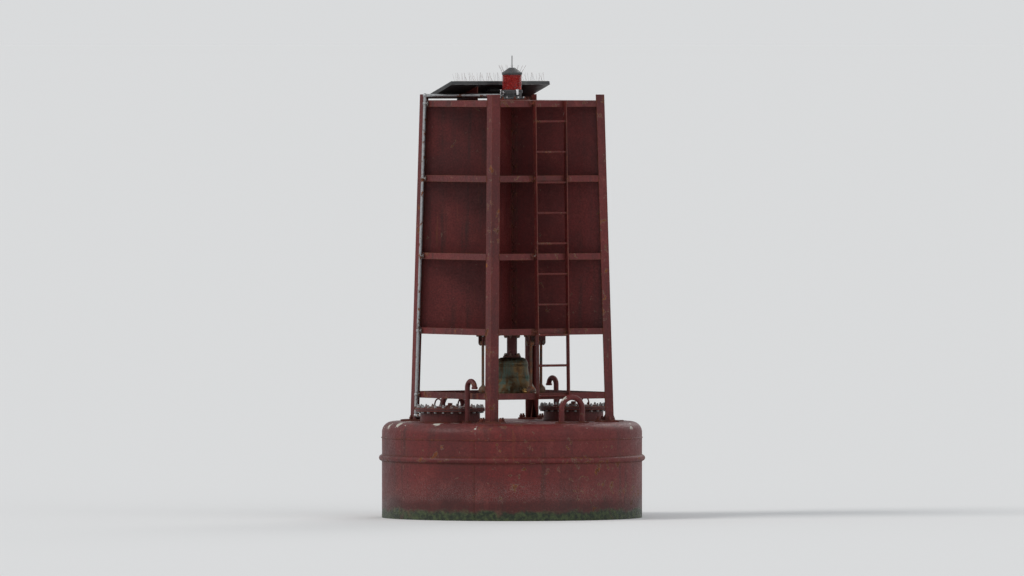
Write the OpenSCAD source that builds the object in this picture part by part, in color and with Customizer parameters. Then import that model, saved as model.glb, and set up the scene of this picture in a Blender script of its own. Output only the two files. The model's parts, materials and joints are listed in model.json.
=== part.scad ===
// Lighted bell buoy of welded steel: a drum hull with a ballasted tail tube, a four-legged
// tower that carries a large radar reflector, a bell with four tappers, and a lantern.
// Millimetres. The origin is on the axis at the water's surface, +Z up. The front leg is at -Y.

/* [Hull] */
// Diameter of the drum
hull_d = 2440; // [2400:20:2900]
// Height of the deck above the water
freeboard = 900; // [750:10:1200]
// Height of the deck head, from its seam with the drum up to the deck
deck_head_h = 150; // [130:5:200]
// Radius of the rounded edge between the deck and the side
deck_edge_r = 100; // [50:5:120]
// Depth below the water at which the drum's straight side ends
drum_draft = 850; // [700:10:1100]
// Height of the cone under the drum
bottom_cone_h = 600; // [400:10:800]
// Distance of the fender belt's middle below the deck
belt_drop = 340; // [240:5:500]
// Radius of the half-round fender belt
belt_r = 28; // [16:1:45]

/* [Tail and ballast] */
// Diameter of the tail tube
tail_d = 610; // [450:10:760]
// Length of the tail tube
tail_l = 1720; // [1200:20:2200]
// Diameter of the ballast castings
ballast_d = 960; // [800:10:1200]
// Height of one ballast casting
ballast_h = 140; // [100:5:180]
// Number of ballast castings
ballast_count = 3; // [2:1:4]
// Width of the groove between two castings
ballast_groove_w = 16; // [8:1:24]
// Depth of the groove between two castings
ballast_groove_d = 14; // [6:1:24]
// Reach of the tail gussets from the tube
gusset_out = 340; // [200:10:500]
// Height of the tail gussets along the tube
gusset_h = 420; // [250:10:600]
// Thickness of the tail gussets
gusset_t = 16; // [8:1:25]

/* [Mooring and lifting] */
// Height of the mooring eyes' holes above the drum's lower edge
mooring_up = 200; // [180:5:400]
// Radius of the mooring eyes' holes
mooring_hole_r = 32; // [20:1:36]
// Thickness of the mooring eyes
mooring_t = 50; // [30:1:70]
// Steel around the mooring eyes' holes
mooring_rim = 46; // [35:1:48]
// Distance of the mooring eyes' round ends from the drum
mooring_gap = 42; // [20:1:100]
// Reach of the mooring eyes' feet above and below the holes
mooring_foot = 165; // [120:5:170]
// Radius of the lifting bails' round bar
bail_bar_r = 26; // [16:1:34]
// Width of the lifting bails, from bar centre to bar centre
bail_w = 230; // [180:5:320]
// Height of the lifting bails, from their pads to the bar's centre at the top
bail_h = 230; // [180:5:320]
// Thickness of the lifting bails' pads
bail_pad_t = 14; // [8:1:24]
// Width of the pads around the bails' bars
bail_pad_rim = 18; // [10:1:30]
// Distance of the lifting bails from the deck's round edge
bail_inset = 95; // [75:5:160]
// Length of the anodes
anode_l = 300; // [200:10:320]
// Width of the anodes
anode_w = 90; // [60:5:120]
// Thickness of the anodes
anode_t = 48; // [30:1:70]
// Depth of the anodes' tops below the water
anode_depth = 320; // [200:10:360]

/* [Battery pockets] */
// Diameter of the pockets' necks
pocket_d = 560; // [420:10:600]
// Height of the pockets' necks above the deck
pocket_h = 120; // [80:5:160]
// Width of the flange around the pockets' necks
pocket_flange = 45; // [30:1:55]
// Thickness of the flanges and of the covers
pocket_plate_t = 16; // [10:1:25]
// Distance of the pockets' flanges from the deck's round edge
pocket_inset = 105; // [60:5:130]
// Height of the raised middle of the covers
pocket_boss_h = 10; // [4:1:20]
// Radius of the vent pipes
vent_r = 24; // [15:1:30]
// Height of the vent pipes' straight part
vent_h = 330; // [200:10:500]
// Radius of the vent pipes' bend
vent_bend_r = 62; // [45:1:80]
// Gap between the vent pipes' collars and the pockets' flanges, along the tower's face
vent_gap = 15; // [5:1:30]
// Gap between the vent pipes' collars and the foot of the tower's face
vent_out = 10; // [5:1:40]

/* [Tower] */
// Distance of the legs' corners from the deck's round edge
leg_inset = 145; // [120:5:200]
// Distance of the legs' corners from the axis at the reflector's top
leg_top_r = 885; // [820:5:920]
// Width of the legs' flanges
leg_flange = 90; // [60:5:110]
// Thickness of the legs' flanges
leg_t = 10; // [6:1:14]
// Reach of the legs above the reflector
leg_tip = 55; // [20:5:100]
// Side of the foot plates
foot_side = 230; // [180:5:250]
// Thickness of the foot plates
foot_t = 16; // [8:1:30]
// Height of the bars between the legs
bar_h = 60; // [40:5:90]
// Thickness of the bars between the legs
bar_t = 10; // [6:1:14]
// Height of the guard rail's middle above the deck
rail_up = 250; // [230:5:300]

/* [Radar reflector] */
// Height of the reflector's underside above the deck
reflector_up = 820; // [780:10:1000]
// Height of the reflector
reflector_h = 2190; // [1600:10:2600]
// Thickness of the upright plates
plate_t = 6; // [4:1:12]
// Thickness of the level plates
shelf_t = 6; // [4:1:12]
// Number of level plates, one above the other
shelf_count = 4; // [3:1:5]

/* [Bell] */
// Radius of the bell's mouth
bell_mouth_r = 255; // [210:5:270]
// Radius of the bell's shoulder
bell_shoulder_r = 150; // [120:5:170]
// Height of the bell
bell_h = 340; // [280:5:360]
// Radius of the rounded edge between the bell's side and its crown
bell_round_r = 62; // [40:1:80]
// Thickness of the bell at its lip
bell_lip_t = 30; // [20:1:36]
// Thickness of the bell at its waist and crown
bell_wall_t = 16; // [10:1:22]
// Gap between the bell's crown and the reflector's underside
bell_drop = 220; // [180:5:240]
// Radius of the bell's hanger
hanger_r = 48; // [30:1:60]
// Width of the flanges around the hanger's ends
hanger_flange = 36; // [20:1:50]
// Thickness of the hanger's flanges
hanger_plate_t = 12; // [8:1:20]

/* [Tappers] */
// Gap between the bell's lip and the tappers' balls, seen from above
tapper_gap = 28; // [28:1:50]
// Distance of the tappers' pins below the reflector's underside
tapper_drop = 80; // [65:1:110]
// Radius of the tappers' pins
tapper_pin_r = 10; // [8:1:14]
// Thickness of the pins' heads
pin_head_t = 8; // [5:1:12]
// Reach of the pins' heads past the pins
pin_head_out = 6; // [3:1:10]
// Radius of the tappers' balls
tapper_ball_r = 42; // [30:1:44]
// Height of the balls' centres above the bell's mouth
tapper_ball_up = 35; // [25:1:50]
// Radius of the tappers' arms
tapper_arm_r = 13; // [9:1:16]
// Radius of the tappers' eyes
tapper_eye_r = 24; // [20:1:28]
// Length of the tappers' eyes along the pin
tapper_eye_l = 44; // [30:1:60]
// Gap between the tappers' eyes and the ears that hold the pins
ear_gap = 3; // [1:0.5:5]
// Thickness of the ears
ear_t = 12; // [8:1:18]
// Steel around the tappers' eyes that the ears reach past them
ear_rim = 3; // [1:0.5:8]
// Thickness of the plates over the ears
ear_plate_t = 12; // [8:1:20]
// Width of the plates around the ears
ear_plate_rim = 15; // [8:1:25]

/* [Lantern] */
// Radius of the lantern's platform
platform_r = 170; // [150:5:200]
// Thickness of the lantern's platform
platform_t = 12; // [8:1:20]
// Height of the lantern's base
lantern_base_h = 82; // [78:1:110]
// Width of the base's flat top around the lens
lantern_rim = 18; // [12:1:24]
// Height of the base's top ring
lantern_ring_h = 26; // [16:1:34]
// Overhang of the base's top ring over its body
lantern_body_in = 12; // [6:1:20]
// Reach of the base's foot past its top ring
lantern_foot_out = 22; // [14:1:30]
// Thickness of the base's foot
lantern_foot_t = 12; // [8:1:16]
// Radius of the lens
lens_r = 82; // [60:1:90]
// Height of the lens
lens_h = 150; // [110:5:200]
// Wall of the lens
lens_wall = 8; // [5:1:12]
// Number of rings moulded around the lens
lens_rings = 7; // [5:1:11]
// Radius of the lamp in the lens
lamp_r = 34; // [24:1:45]
// Height of the lamp
lamp_h = 54; // [40:1:90]
// Radius of the lamp's post
lamp_post_r = 14; // [8:1:20]
// Height of the lantern's cap
cap_h = 62; // [40:1:90]
// Height of the cap's rim
cap_rim_h = 18; // [10:1:24]
// Reach of the cap's rim past the lens
cap_rim_out = 14; // [8:1:24]
// Height of the bird spike on the cap
spike_h = 113; // [80:1:160]
// Radius of the bird spike
spike_r = 4; // [3:0.5:6]

/* [Solar panel] */
// Distance of the panel's ends from the tower's corners
solar_end = 76; // [60:2:180]
// Width of the panel
solar_w = 430; // [300:10:440]
// Thickness of the panel's frame
solar_t = 34; // [25:1:45]
// Width of the frame's face around the glass
solar_rim = 26; // [18:1:40]
// Thickness of the glass
glass_t = 6; // [3:1:10]
// Distance of the panel's lower edge from the tower's face
solar_in = 22; // [18:1:40]
// Gap between the roof and the panel's lowest corner
solar_clear = 14; // [6:1:40]
// Slope of the panel in degrees, down and away from the lantern
solar_tilt = 18; // [10:1:20]
// Thickness of the panel's side brackets
solar_bracket_t = 8; // [5:1:12]
// Distance of the brackets from the panel's ends
solar_bracket_in = 310; // [200:5:340]
// Distance of the brackets' ends from the panel's long edges
solar_bracket_short = 30; // [10:5:60]

/* [Ladder and conduit] */
// Width of the ladder between its side bars' middles
ladder_w = 340; // [280:10:400]
// Depth of the ladder's side bars
ladder_bar_d = 45; // [30:1:60]
// Thickness of the ladder's side bars
ladder_bar_t = 10; // [6:1:14]
// Radius of the rungs
rung_r = 11; // [8:1:14]
// Distance between two rungs
rung_step = 285; // [240:5:330]
// Radius of the cable conduit
conduit_r = 15; // [10:1:18]
// Radius of the fittings at the conduit's bends
conduit_fitting_r = 21; // [20:1:26]
// Gap between the conduit's fittings and the tower's face
conduit_gap = 6; // [3:1:12]

/* [Hidden] */
$fn = 96;
// Gap left between pieces that are welded or bolted on the real buoy
seam = 0.4;
// Gap between a pin and the eye that turns on it
pin_play = 0.3;
// Directions from the axis in degrees from +X: legs, faces between them, and what sits on them
leg_dirs = [270, 0, 90, 180];
face_dirs = [45, 135, 225, 315];
pocket_dirs = [45, 225];
eye_dirs = [135, 315];
solar_dir = 135;
conduit_dir = 225;
ladder_dir = 315;

hull_r = hull_d / 2;
flat_r = hull_r - deck_edge_r;
tail_r = tail_d / 2;
deck_z = freeboard;
drum_top = deck_z - deck_head_h;
drum_bottom = -drum_draft;
cone_bottom = drum_bottom - bottom_cone_h;
tail_bottom = cone_bottom - tail_l;
cone_slope = bottom_cone_h / (hull_r - tail_r);

flange_r = pocket_d / 2 + pocket_flange;
pocket_r = flat_r - pocket_inset - flange_r;
bail_r = flat_r - bail_inset;

foot_z = deck_z + foot_t;
reflector_bottom = deck_z + reflector_up;
reflector_top = reflector_bottom + reflector_h;
leg_foot_r = flat_r - leg_inset;
lean = (leg_foot_r - leg_top_r) / (reflector_top - foot_z);
lean_deg = atan(lean);
face_lean_deg = atan(lean * cos(45));
// How far an upright plate's edge stays inside a leg's outer corner
plate_edge = leg_t * sqrt(2) + plate_t / 2 + 2 * seam;

bell_crown_z = reflector_bottom - bell_drop;
bell_mouth_z = bell_crown_z - bell_h;
flare_h = bell_h - bell_round_r;
tapper_r = bell_mouth_r + tapper_gap + tapper_ball_r;
tapper_z = reflector_bottom - tapper_drop;
tapper_arm_l = tapper_z - bell_mouth_z - tapper_ball_up;

platform_z = reflector_top + platform_t;
lantern_ring_r = lens_r + lantern_rim;
lantern_body_r = lantern_ring_r - lantern_body_in;
lantern_foot_r = lantern_ring_r + lantern_foot_out;
lens_z = platform_z + lantern_base_h;
cap_z = lens_z + lens_h;

solar_l = 2 * (face_r(reflector_top) - solar_end);
solar_r = face_r(reflector_top) - solar_in - solar_w / 2 * cos(solar_tilt);
solar_up = solar_clear + solar_w / 2 * sin(solar_tilt) + solar_t / 2 * cos(solar_tilt);

// Distance of a leg's outer corner from the axis at height z
function leg_r(z) = leg_foot_r - lean * (z - foot_z);
// Distance of a tower face from the axis at height z
function face_r(z) = leg_r(z) * cos(45);
// Height of the underside of level plate i, from the floor at 0 to the roof
function shelf_z(i) = reflector_bottom + i * (reflector_h - shelf_t) / (shelf_count - 1);
// Height of the middle of the bars at level plate i, which never pass the floor or the roof
function bar_z(i) = max(reflector_bottom + bar_h / 2,
    min(reflector_top - bar_h / 2, shelf_z(i) + shelf_t / 2));

// Turns its children round the axis to a direction
module toward(dir) { rotate([0, 0, dir]) children(); }

// Puts its children on a tower face at height z: x out of the face, y along it, z up its slope
module on_face(dir, z) {
    toward(dir) translate([face_r(z), 0, z]) rotate([0, -face_lean_deg, 0]) children();
}

// Keeps what lies between two heights
module between(z0, z1) {
    intersection() {
        children();
        translate([-hull_r, -hull_r, z0]) cube([hull_d, hull_d, z1 - z0]);
    }
}

module hull_drum() {
    color("firebrick")
    translate([0, 0, drum_bottom]) cylinder(r = hull_r, h = drum_top - drum_bottom);
}

module deck_head() {
    edge = [flat_r, deck_z - deck_edge_r];
    color("firebrick")
    rotate_extrude() {
        translate([0, drum_top]) square([hull_r, deck_head_h - deck_edge_r]);
        translate([0, drum_top]) square([flat_r, deck_head_h]);
        intersection() {
            translate(edge) circle(r = deck_edge_r);
            translate(edge) square(deck_edge_r);
        }
    }
}

module bottom_cone() {
    color("saddlebrown")
    translate([0, 0, cone_bottom]) cylinder(r1 = tail_r, r2 = hull_r, h = bottom_cone_h);
}

module fender_belt() {
    inner = hull_r + seam;
    color("firebrick")
    translate([0, 0, deck_z - belt_drop]) rotate_extrude() intersection() {
        translate([inner, 0]) circle(r = belt_r);
        translate([inner, -belt_r]) square([belt_r, 2 * belt_r]);
    }
}

module tail_tube() {
    color("saddlebrown")
    translate([0, 0, tail_bottom]) cylinder(r = tail_r, h = tail_l);
}

module tail_gussets() {
    // The top edge runs under the cone, a seam away from it
    drop = seam / cos(atan(cone_slope));
    inner = tail_r + seam;
    outer = inner + gusset_out;
    color("saddlebrown")
    for (dir = face_dirs) toward(dir)
        rotate([90, 0, 0]) linear_extrude(gusset_t, center = true)
            polygon([
                [inner, cone_bottom + cone_slope * seam - drop],
                [outer, cone_bottom + cone_slope * (outer - tail_r) - drop],
                [inner, cone_bottom - gusset_h]
            ]);
}

// Round castings with a groove between each two, hung under the tail tube
module ballast() {
    outer = ballast_d / 2;
    color("dimgray")
    rotate_extrude() difference() {
        translate([0, tail_bottom - ballast_count * ballast_h])
            square([outer, ballast_count * ballast_h]);
        for (i = [1 : ballast_count - 1])
            translate([outer - ballast_groove_d,
                tail_bottom - i * ballast_h - ballast_groove_w / 2])
                square([2 * ballast_groove_d, ballast_groove_w]);
    }
}

// Upright plate on the drum's side with a round end and a hole for a shackle pin
module mooring_eye(dir) {
    root = hull_r + seam;
    end_r = mooring_hole_r + mooring_rim;
    hole = root + mooring_gap + end_r;
    color("saddlebrown")
    toward(dir) translate([0, 0, drum_bottom + mooring_up]) rotate([90, 0, 0])
        difference() {
            linear_extrude(mooring_t, center = true) union() {
                translate([hole, 0]) circle(r = end_r);
                polygon([
                    [root, -mooring_foot], [hole, -end_r], [hole, end_r],
                    [root, mooring_foot]
                ]);
            }
            translate([hole, 0, 0])
                cylinder(r = mooring_hole_r, h = mooring_t + 2, center = true);
        }
}

// Sacrificial blocks on the drum's side under water
module anodes() {
    color("lightgray")
    for (dir = leg_dirs) toward(dir)
        translate([hull_r + seam, -anode_w / 2, -anode_depth - anode_l])
            cube([anode_t, anode_w, anode_l]);
}

module bail_pads() {
    pad = [
        2 * (bail_bar_r + bail_pad_rim), bail_w + 2 * (bail_bar_r + bail_pad_rim), bail_pad_t
    ];
    color("firebrick")
    for (dir = eye_dirs) toward(dir)
        translate([bail_r - pad.x / 2, -pad.y / 2, deck_z]) cube(pad);
}

// Round bar bent to a U, standing upside down on its pad
module lifting_bail(dir) {
    bend = bail_w / 2;
    straight = bail_h - bend;
    color("firebrick")
    toward(dir) translate([bail_r, 0, deck_z + bail_pad_t + seam]) {
        for (side = [-1, 1]) translate([0, side * bend, 0])
            cylinder(r = bail_bar_r, h = straight);
        translate([0, 0, straight]) rotate([90, 0, 90])
            rotate_extrude(angle = 180) translate([bend, 0]) circle(r = bail_bar_r);
    }
}

// Neck and flange of a battery pocket, which is closed by its cover
module battery_pocket(dir) {
    color("firebrick")
    toward(dir) translate([pocket_r, 0, deck_z]) {
        cylinder(r = pocket_d / 2, h = pocket_h);
        translate([0, 0, pocket_h - pocket_plate_t]) cylinder(r = flange_r, h = pocket_plate_t);
    }
}

module pocket_cover(dir) {
    color("firebrick")
    toward(dir) translate([pocket_r, 0, deck_z + pocket_h + seam]) {
        cylinder(r = flange_r, h = pocket_plate_t);
        cylinder(r = flange_r - 2 * pocket_flange, h = pocket_plate_t + pocket_boss_h);
    }
}

// Goose-neck pipes beside the pockets that let them breathe
module vent_pipes() {
    collar_r = 2 * vent_r;
    collar_h = vent_r / 2;
    color("firebrick")
    for (dir = pocket_dirs) toward(dir)
        translate([face_r(deck_z) + vent_out + collar_r, flange_r + vent_gap + collar_r, deck_z]) {
            cylinder(r = collar_r, h = collar_h);
            cylinder(r = vent_r, h = vent_h);
            translate([0, vent_bend_r, vent_h]) rotate([90, 0, 90])
                rotate_extrude(angle = 180) translate([vent_bend_r, 0]) circle(r = vent_r);
        }
}

module foot_plates() {
    color("firebrick")
    for (dir = leg_dirs) toward(dir)
        translate([leg_foot_r - (leg_flange + foot_side) / 2, -foot_side / 2, deck_z])
            cube([foot_side, foot_side, foot_t]);
}

// Angle bar that leans inward, its corner outward and its flanges in the tower's faces
module leg(dir) {
    top = reflector_top + leg_tip;
    below = leg_flange;
    color("firebrick")
    toward(dir) between(foot_z + seam, top)
        translate([leg_foot_r, 0, foot_z]) rotate([0, -lean_deg, 0])
            translate([0, 0, -below]) rotate([0, 0, 135])
                linear_extrude((top - foot_z) / cos(lean_deg) + 2 * below)
                    difference() {
                        square(leg_flange);
                        translate([leg_t, leg_t]) square(leg_flange);
                    }
}

// Four level bars between the legs' flanges, their middles at height z
module bars_at(z) {
    length = 2 * (face_r(z + bar_h / 2) - leg_flange - seam);
    for (dir = face_dirs) on_face(dir, z)
        translate([-bar_t, -length / 2, -bar_h / 2]) cube([bar_t, length, bar_h]);
}

module guard_rail() { color("firebrick") bars_at(deck_z + rail_up); }

module reflector_bars() {
    color("firebrick")
    for (i = [0 : shelf_count - 1]) bars_at(bar_z(i));
}

// The upright plate that runs right across the tower, from the left leg to the right leg
module reflector_plate_wide() {
    low = leg_r(reflector_bottom) - plate_edge;
    high = leg_r(reflector_top) - plate_edge;
    color("brown")
    rotate([90, 0, 0]) linear_extrude(plate_t, center = true)
        polygon([
            [-low, reflector_bottom], [low, reflector_bottom],
            [high, reflector_top], [-high, reflector_top]
        ]);
}

// The upright plate from the wide plate out to the front or the rear leg
module reflector_plate_half(dir) {
    inner = plate_t / 2 + seam;
    color("brown")
    toward(dir) rotate([90, 0, 0]) linear_extrude(plate_t, center = true)
        polygon([
            [inner, reflector_bottom], [leg_r(reflector_bottom) - plate_edge, reflector_bottom],
            [leg_r(reflector_top) - plate_edge, reflector_top], [inner, reflector_top]
        ]);
}

// Four level triangles between the upright plates
module shelf(i) {
    inner = plate_t / 2 + seam;
    outer = leg_r(shelf_z(i) + shelf_t) - sqrt(2) * (bar_t + seam) - inner;
    color("brown")
    for (dir = leg_dirs) toward(dir) translate([0, 0, shelf_z(i)])
        linear_extrude(shelf_t) polygon([[inner, inner], [outer, inner], [inner, outer]]);
}

module reflector_shelves() { for (i = [1 : shelf_count - 2]) shelf(i); }

// The ladder stands on the outside of the bars, from the guard rail to the roof
module ladder_sides() {
    z0 = deck_z + rail_up - bar_h / 2;
    length = (reflector_top - z0) / cos(face_lean_deg);
    color("firebrick")
    on_face(ladder_dir, z0) for (side = [-1, 1])
        translate([seam, side * ladder_w / 2 - ladder_bar_t / 2, 0])
            cube([ladder_bar_d, ladder_bar_t, length]);
}

module ladder_rungs() {
    z0 = deck_z + rail_up;
    length = ladder_w - ladder_bar_t - 2 * seam;
    count = floor((reflector_top - rung_r - z0) / rung_step);
    color("firebrick")
    on_face(ladder_dir, z0) for (i = [0 : count])
        translate([seam + ladder_bar_d / 2, length / 2, i * rung_step])
            rotate([90, 0, 0]) cylinder(r = rung_r, h = length);
}

// Outer radius and wall of the bell's flared side at a height h over its mouth
function flare_r(h) = bell_shoulder_r
    + (bell_mouth_r - bell_shoulder_r) * pow(1 - h / flare_h, 2.3);
function flare_t(h) = bell_wall_t + (bell_lip_t - bell_wall_t) * pow(1 - h / flare_h, 3);

// The bell's outline from the lip up to its crown, on the outer (inset 0) or inner (inset 1) face
function bell_line(inset) = concat(
    [for (i = [0 : 14]) let (h = flare_h * i / 14) [flare_r(h) - inset * flare_t(h), h]],
    [for (turn = [15 : 15 : 90]) let (r = bell_round_r - inset * bell_wall_t)
        [bell_shoulder_r - bell_round_r + r * cos(turn), flare_h + r * sin(turn)]]
);

module bell() {
    inside = bell_line(1);
    color("goldenrod")
    translate([0, 0, bell_mouth_z]) rotate_extrude() polygon(concat(
        bell_line(0), [[0, bell_h], [0, bell_h - bell_wall_t]],
        [for (i = [len(inside) - 1 : -1 : 0]) inside[i]]
    ));
}

module bell_hanger() {
    length = bell_drop - seam;
    end_r = hanger_r + hanger_flange;
    color("firebrick")
    translate([0, 0, bell_crown_z + seam]) {
        cylinder(r = hanger_r, h = length);
        cylinder(r = end_r, h = hanger_plate_t);
        translate([0, 0, length - hanger_plate_t]) cylinder(r = end_r, h = hanger_plate_t);
    }
}

// Places its children at a tapper's pin: x outward, y along the pin
module at_pin(dir) { toward(dir) translate([tapper_r, 0, tapper_z]) children(); }

// Two ears under a small plate
module tapper_brackets() {
    ear_in = tapper_eye_l / 2 + ear_gap;
    ear_w = 2 * (tapper_eye_r + ear_rim);
    plate = [
        ear_w + 2 * ear_plate_rim, 2 * (ear_in + ear_t + ear_plate_rim), ear_plate_t
    ];
    color("firebrick")
    for (dir = face_dirs) at_pin(dir) {
        translate([-plate.x / 2, -plate.y / 2, tapper_drop - seam - ear_plate_t]) cube(plate);
        for (side = [-1, 1]) translate([0, side * (ear_in + ear_t / 2), 0])
            rotate([90, 0, 0]) difference() {
                union() {
                    cylinder(r = ear_w / 2, h = ear_t, center = true);
                    translate([-ear_w / 2, 0, -ear_t / 2])
                        cube([ear_w, tapper_drop - ear_plate_t / 2, ear_t]);
                }
                cylinder(r = tapper_pin_r + seam / 2, h = 2 * ear_t, center = true);
            }
    }
}

module tapper_pins() {
    half = tapper_eye_l / 2 + ear_gap + ear_t + seam;
    color("silver")
    for (dir = face_dirs) at_pin(dir) rotate([90, 0, 0]) {
        cylinder(r = tapper_pin_r, h = 2 * half + pin_head_t, center = true);
        for (side = [-1, 1]) translate([0, 0, side * (half + pin_head_t / 2)])
            cylinder(r = tapper_pin_r + pin_head_out, h = pin_head_t, center = true);
    }
}

// An eye on the pin, a round arm and a ball, all on one plumb line so that it hangs straight
module tapper(dir) {
    color("dimgray")
    at_pin(dir) difference() {
        union() {
            rotate([90, 0, 0]) cylinder(r = tapper_eye_r, h = tapper_eye_l, center = true);
            translate([0, 0, -tapper_arm_l]) cylinder(r = tapper_arm_r, h = tapper_arm_l);
            translate([0, 0, -tapper_arm_l]) sphere(r = tapper_ball_r);
        }
        rotate([90, 0, 0])
            cylinder(r = tapper_pin_r + pin_play, h = tapper_eye_l + 2, center = true);
    }
}

module lantern_platform() {
    color("firebrick")
    translate([0, 0, reflector_top]) cylinder(r = platform_r, h = platform_t);
}

module lantern_base() {
    color("dimgray")
    translate([0, 0, platform_z]) {
        cylinder(r = lantern_foot_r, h = lantern_foot_t);
        cylinder(r = lantern_body_r, h = lantern_base_h);
        translate([0, 0, lantern_base_h - lantern_ring_h])
            cylinder(r = lantern_ring_r, h = lantern_ring_h);
    }
}

// Clear ring with half-round ridges around it
module lantern_lens() {
    pitch = lens_h / lens_rings;
    ridge = 0.36 * pitch;
    color("tomato", 0.6)
    translate([0, 0, lens_z]) rotate_extrude() {
        translate([lens_r - lens_wall, 0]) square([lens_wall, lens_h]);
        for (i = [0 : lens_rings - 1]) intersection() {
            translate([lens_r, (i + 0.5) * pitch]) circle(r = ridge);
            translate([lens_r - lens_wall / 2, (i + 0.5) * pitch - ridge]) square(2 * ridge);
        }
    }
}

// The lamp that shows through the lens: a post with a round light head
module lantern_lamp() {
    color("gainsboro")
    translate([0, 0, lens_z]) {
        cylinder(r = lamp_post_r, h = lens_h);
        translate([0, 0, (lens_h - lamp_h) / 2]) cylinder(r = lamp_r, h = lamp_h);
    }
}

module lantern_cap() {
    color("dimgray")
    translate([0, 0, cap_z]) {
        cylinder(r = lens_r + cap_rim_out, h = cap_rim_h);
        translate([0, 0, cap_rim_h]) cylinder(
            r1 = lens_r + cap_rim_out / 2, r2 = lens_r / 3, h = cap_h - cap_rim_h);
        cylinder(r = spike_r, h = cap_h + spike_h);
    }
}

// Places its children at the middle of the solar panel, x down its slope and y along it
module on_panel() {
    toward(solar_dir) translate([solar_r, 0, reflector_top + solar_up])
        rotate([0, solar_tilt, 0]) children();
}

module solar_frame() {
    window = [solar_w - 2 * solar_rim, solar_l - 2 * solar_rim, solar_t];
    color("silver")
    on_panel() difference() {
        cube([solar_w, solar_l, solar_t], center = true);
        translate([0, 0, solar_t - glass_t]) cube(window, center = true);
    }
}

module solar_glass() {
    pane = [
        solar_w - 2 * (solar_rim + seam), solar_l - 2 * (solar_rim + seam), glass_t - seam
    ];
    color("midnightblue")
    on_panel() translate([0, 0, (solar_t - pane.z) / 2]) cube(pane, center = true);
}

// Wedge plates on the roof under the panel's frame
module solar_brackets() {
    reach = (solar_w / 2 - solar_bracket_short) * cos(solar_tilt);
    under = solar_up - (solar_t / 2 + seam) / cos(solar_tilt);
    rise = reach * tan(solar_tilt);
    color("firebrick")
    toward(solar_dir) for (side = [-1, 1])
        translate([solar_r, side * (solar_l / 2 - solar_bracket_in), reflector_top])
            rotate([90, 0, 0]) linear_extrude(solar_bracket_t, center = true)
                polygon([[-reach, 0], [reach, 0], [reach, under - rise], [-reach, under + rise]]);
}

// From the front pocket up the left leg's side of the face and over the roof to the lantern
module cable_conduit() {
    out = conduit_fitting_r + conduit_gap;
    beside = leg_flange + 2 * conduit_fitting_r;
    low_z = deck_z + (pocket_h - pocket_plate_t) / 2;
    high_z = platform_z + lantern_foot_t + conduit_gap + conduit_r;
    low = [face_r(low_z) + out, beside - face_r(low_z), low_z];
    high = [face_r(high_z) + out, beside - face_r(high_z), high_z];
    // The roof run points at the axis and stops at the lantern's body
    inward = (lantern_body_r + seam) / norm([high.x, high.y]);
    points = [
        [low.x, -pocket_d / 2 - seam, low_z], low, high,
        [high.x * inward, high.y * inward, high_z]
    ];
    color("dimgray")
    toward(conduit_dir) {
        for (i = [0 : len(points) - 2]) {
            way = points[i + 1] - points[i];
            translate(points[i])
                rotate([0, acos(way.z / norm(way)), atan2(way.y, way.x)])
                    cylinder(r = conduit_r, h = norm(way));
        }
        for (i = [1 : len(points) - 2]) translate(points[i]) sphere(r = conduit_fitting_r);
    }
}

hull_drum();
deck_head();
bottom_cone();
fender_belt();
tail_tube();
tail_gussets();
ballast();
mooring_eye(eye_dirs[0]);  // mooring_eye_rear
mooring_eye(eye_dirs[1]);  // mooring_eye_front
anodes();
lifting_bail(eye_dirs[0]);  // lifting_bail_rear
lifting_bail(eye_dirs[1]);  // lifting_bail_front
bail_pads();
battery_pocket(pocket_dirs[0]);  // battery_pocket_rear
battery_pocket(pocket_dirs[1]);  // battery_pocket_front
pocket_cover(pocket_dirs[0]);  // pocket_cover_rear
pocket_cover(pocket_dirs[1]);  // pocket_cover_front
vent_pipes();
foot_plates();
leg(leg_dirs[0]);  // leg_front
leg(leg_dirs[1]);  // leg_right
leg(leg_dirs[2]);  // leg_rear
leg(leg_dirs[3]);  // leg_left
guard_rail();
reflector_bars();
reflector_plate_wide();
reflector_plate_half(leg_dirs[0]);  // reflector_plate_front
reflector_plate_half(leg_dirs[2]);  // reflector_plate_rear
shelf(0);  // reflector_floor
reflector_shelves();
shelf(shelf_count - 1);  // reflector_roof
ladder_sides();
ladder_rungs();
bell();
bell_hanger();
tapper_brackets();
tapper_pins();
tapper(face_dirs[0]);  // tapper_rear_right
tapper(face_dirs[1]);  // tapper_rear_left
tapper(face_dirs[2]);  // tapper_front_left
tapper(face_dirs[3]);  // tapper_front_right
lantern_platform();
lantern_base();
lantern_lens();
lantern_lamp();
lantern_cap();
solar_frame();
solar_glass();
solar_brackets();
cable_conduit();
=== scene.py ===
"""Finish, fittings and stage for a lighted bell buoy of welded steel, afloat.

Metres. The origin is on the axis at the water's surface, +Z up, and the front leg is at -Y.
"""

import json
import math
import random

import bmesh
import bpy
from mathutils import Matrix, Vector


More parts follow.
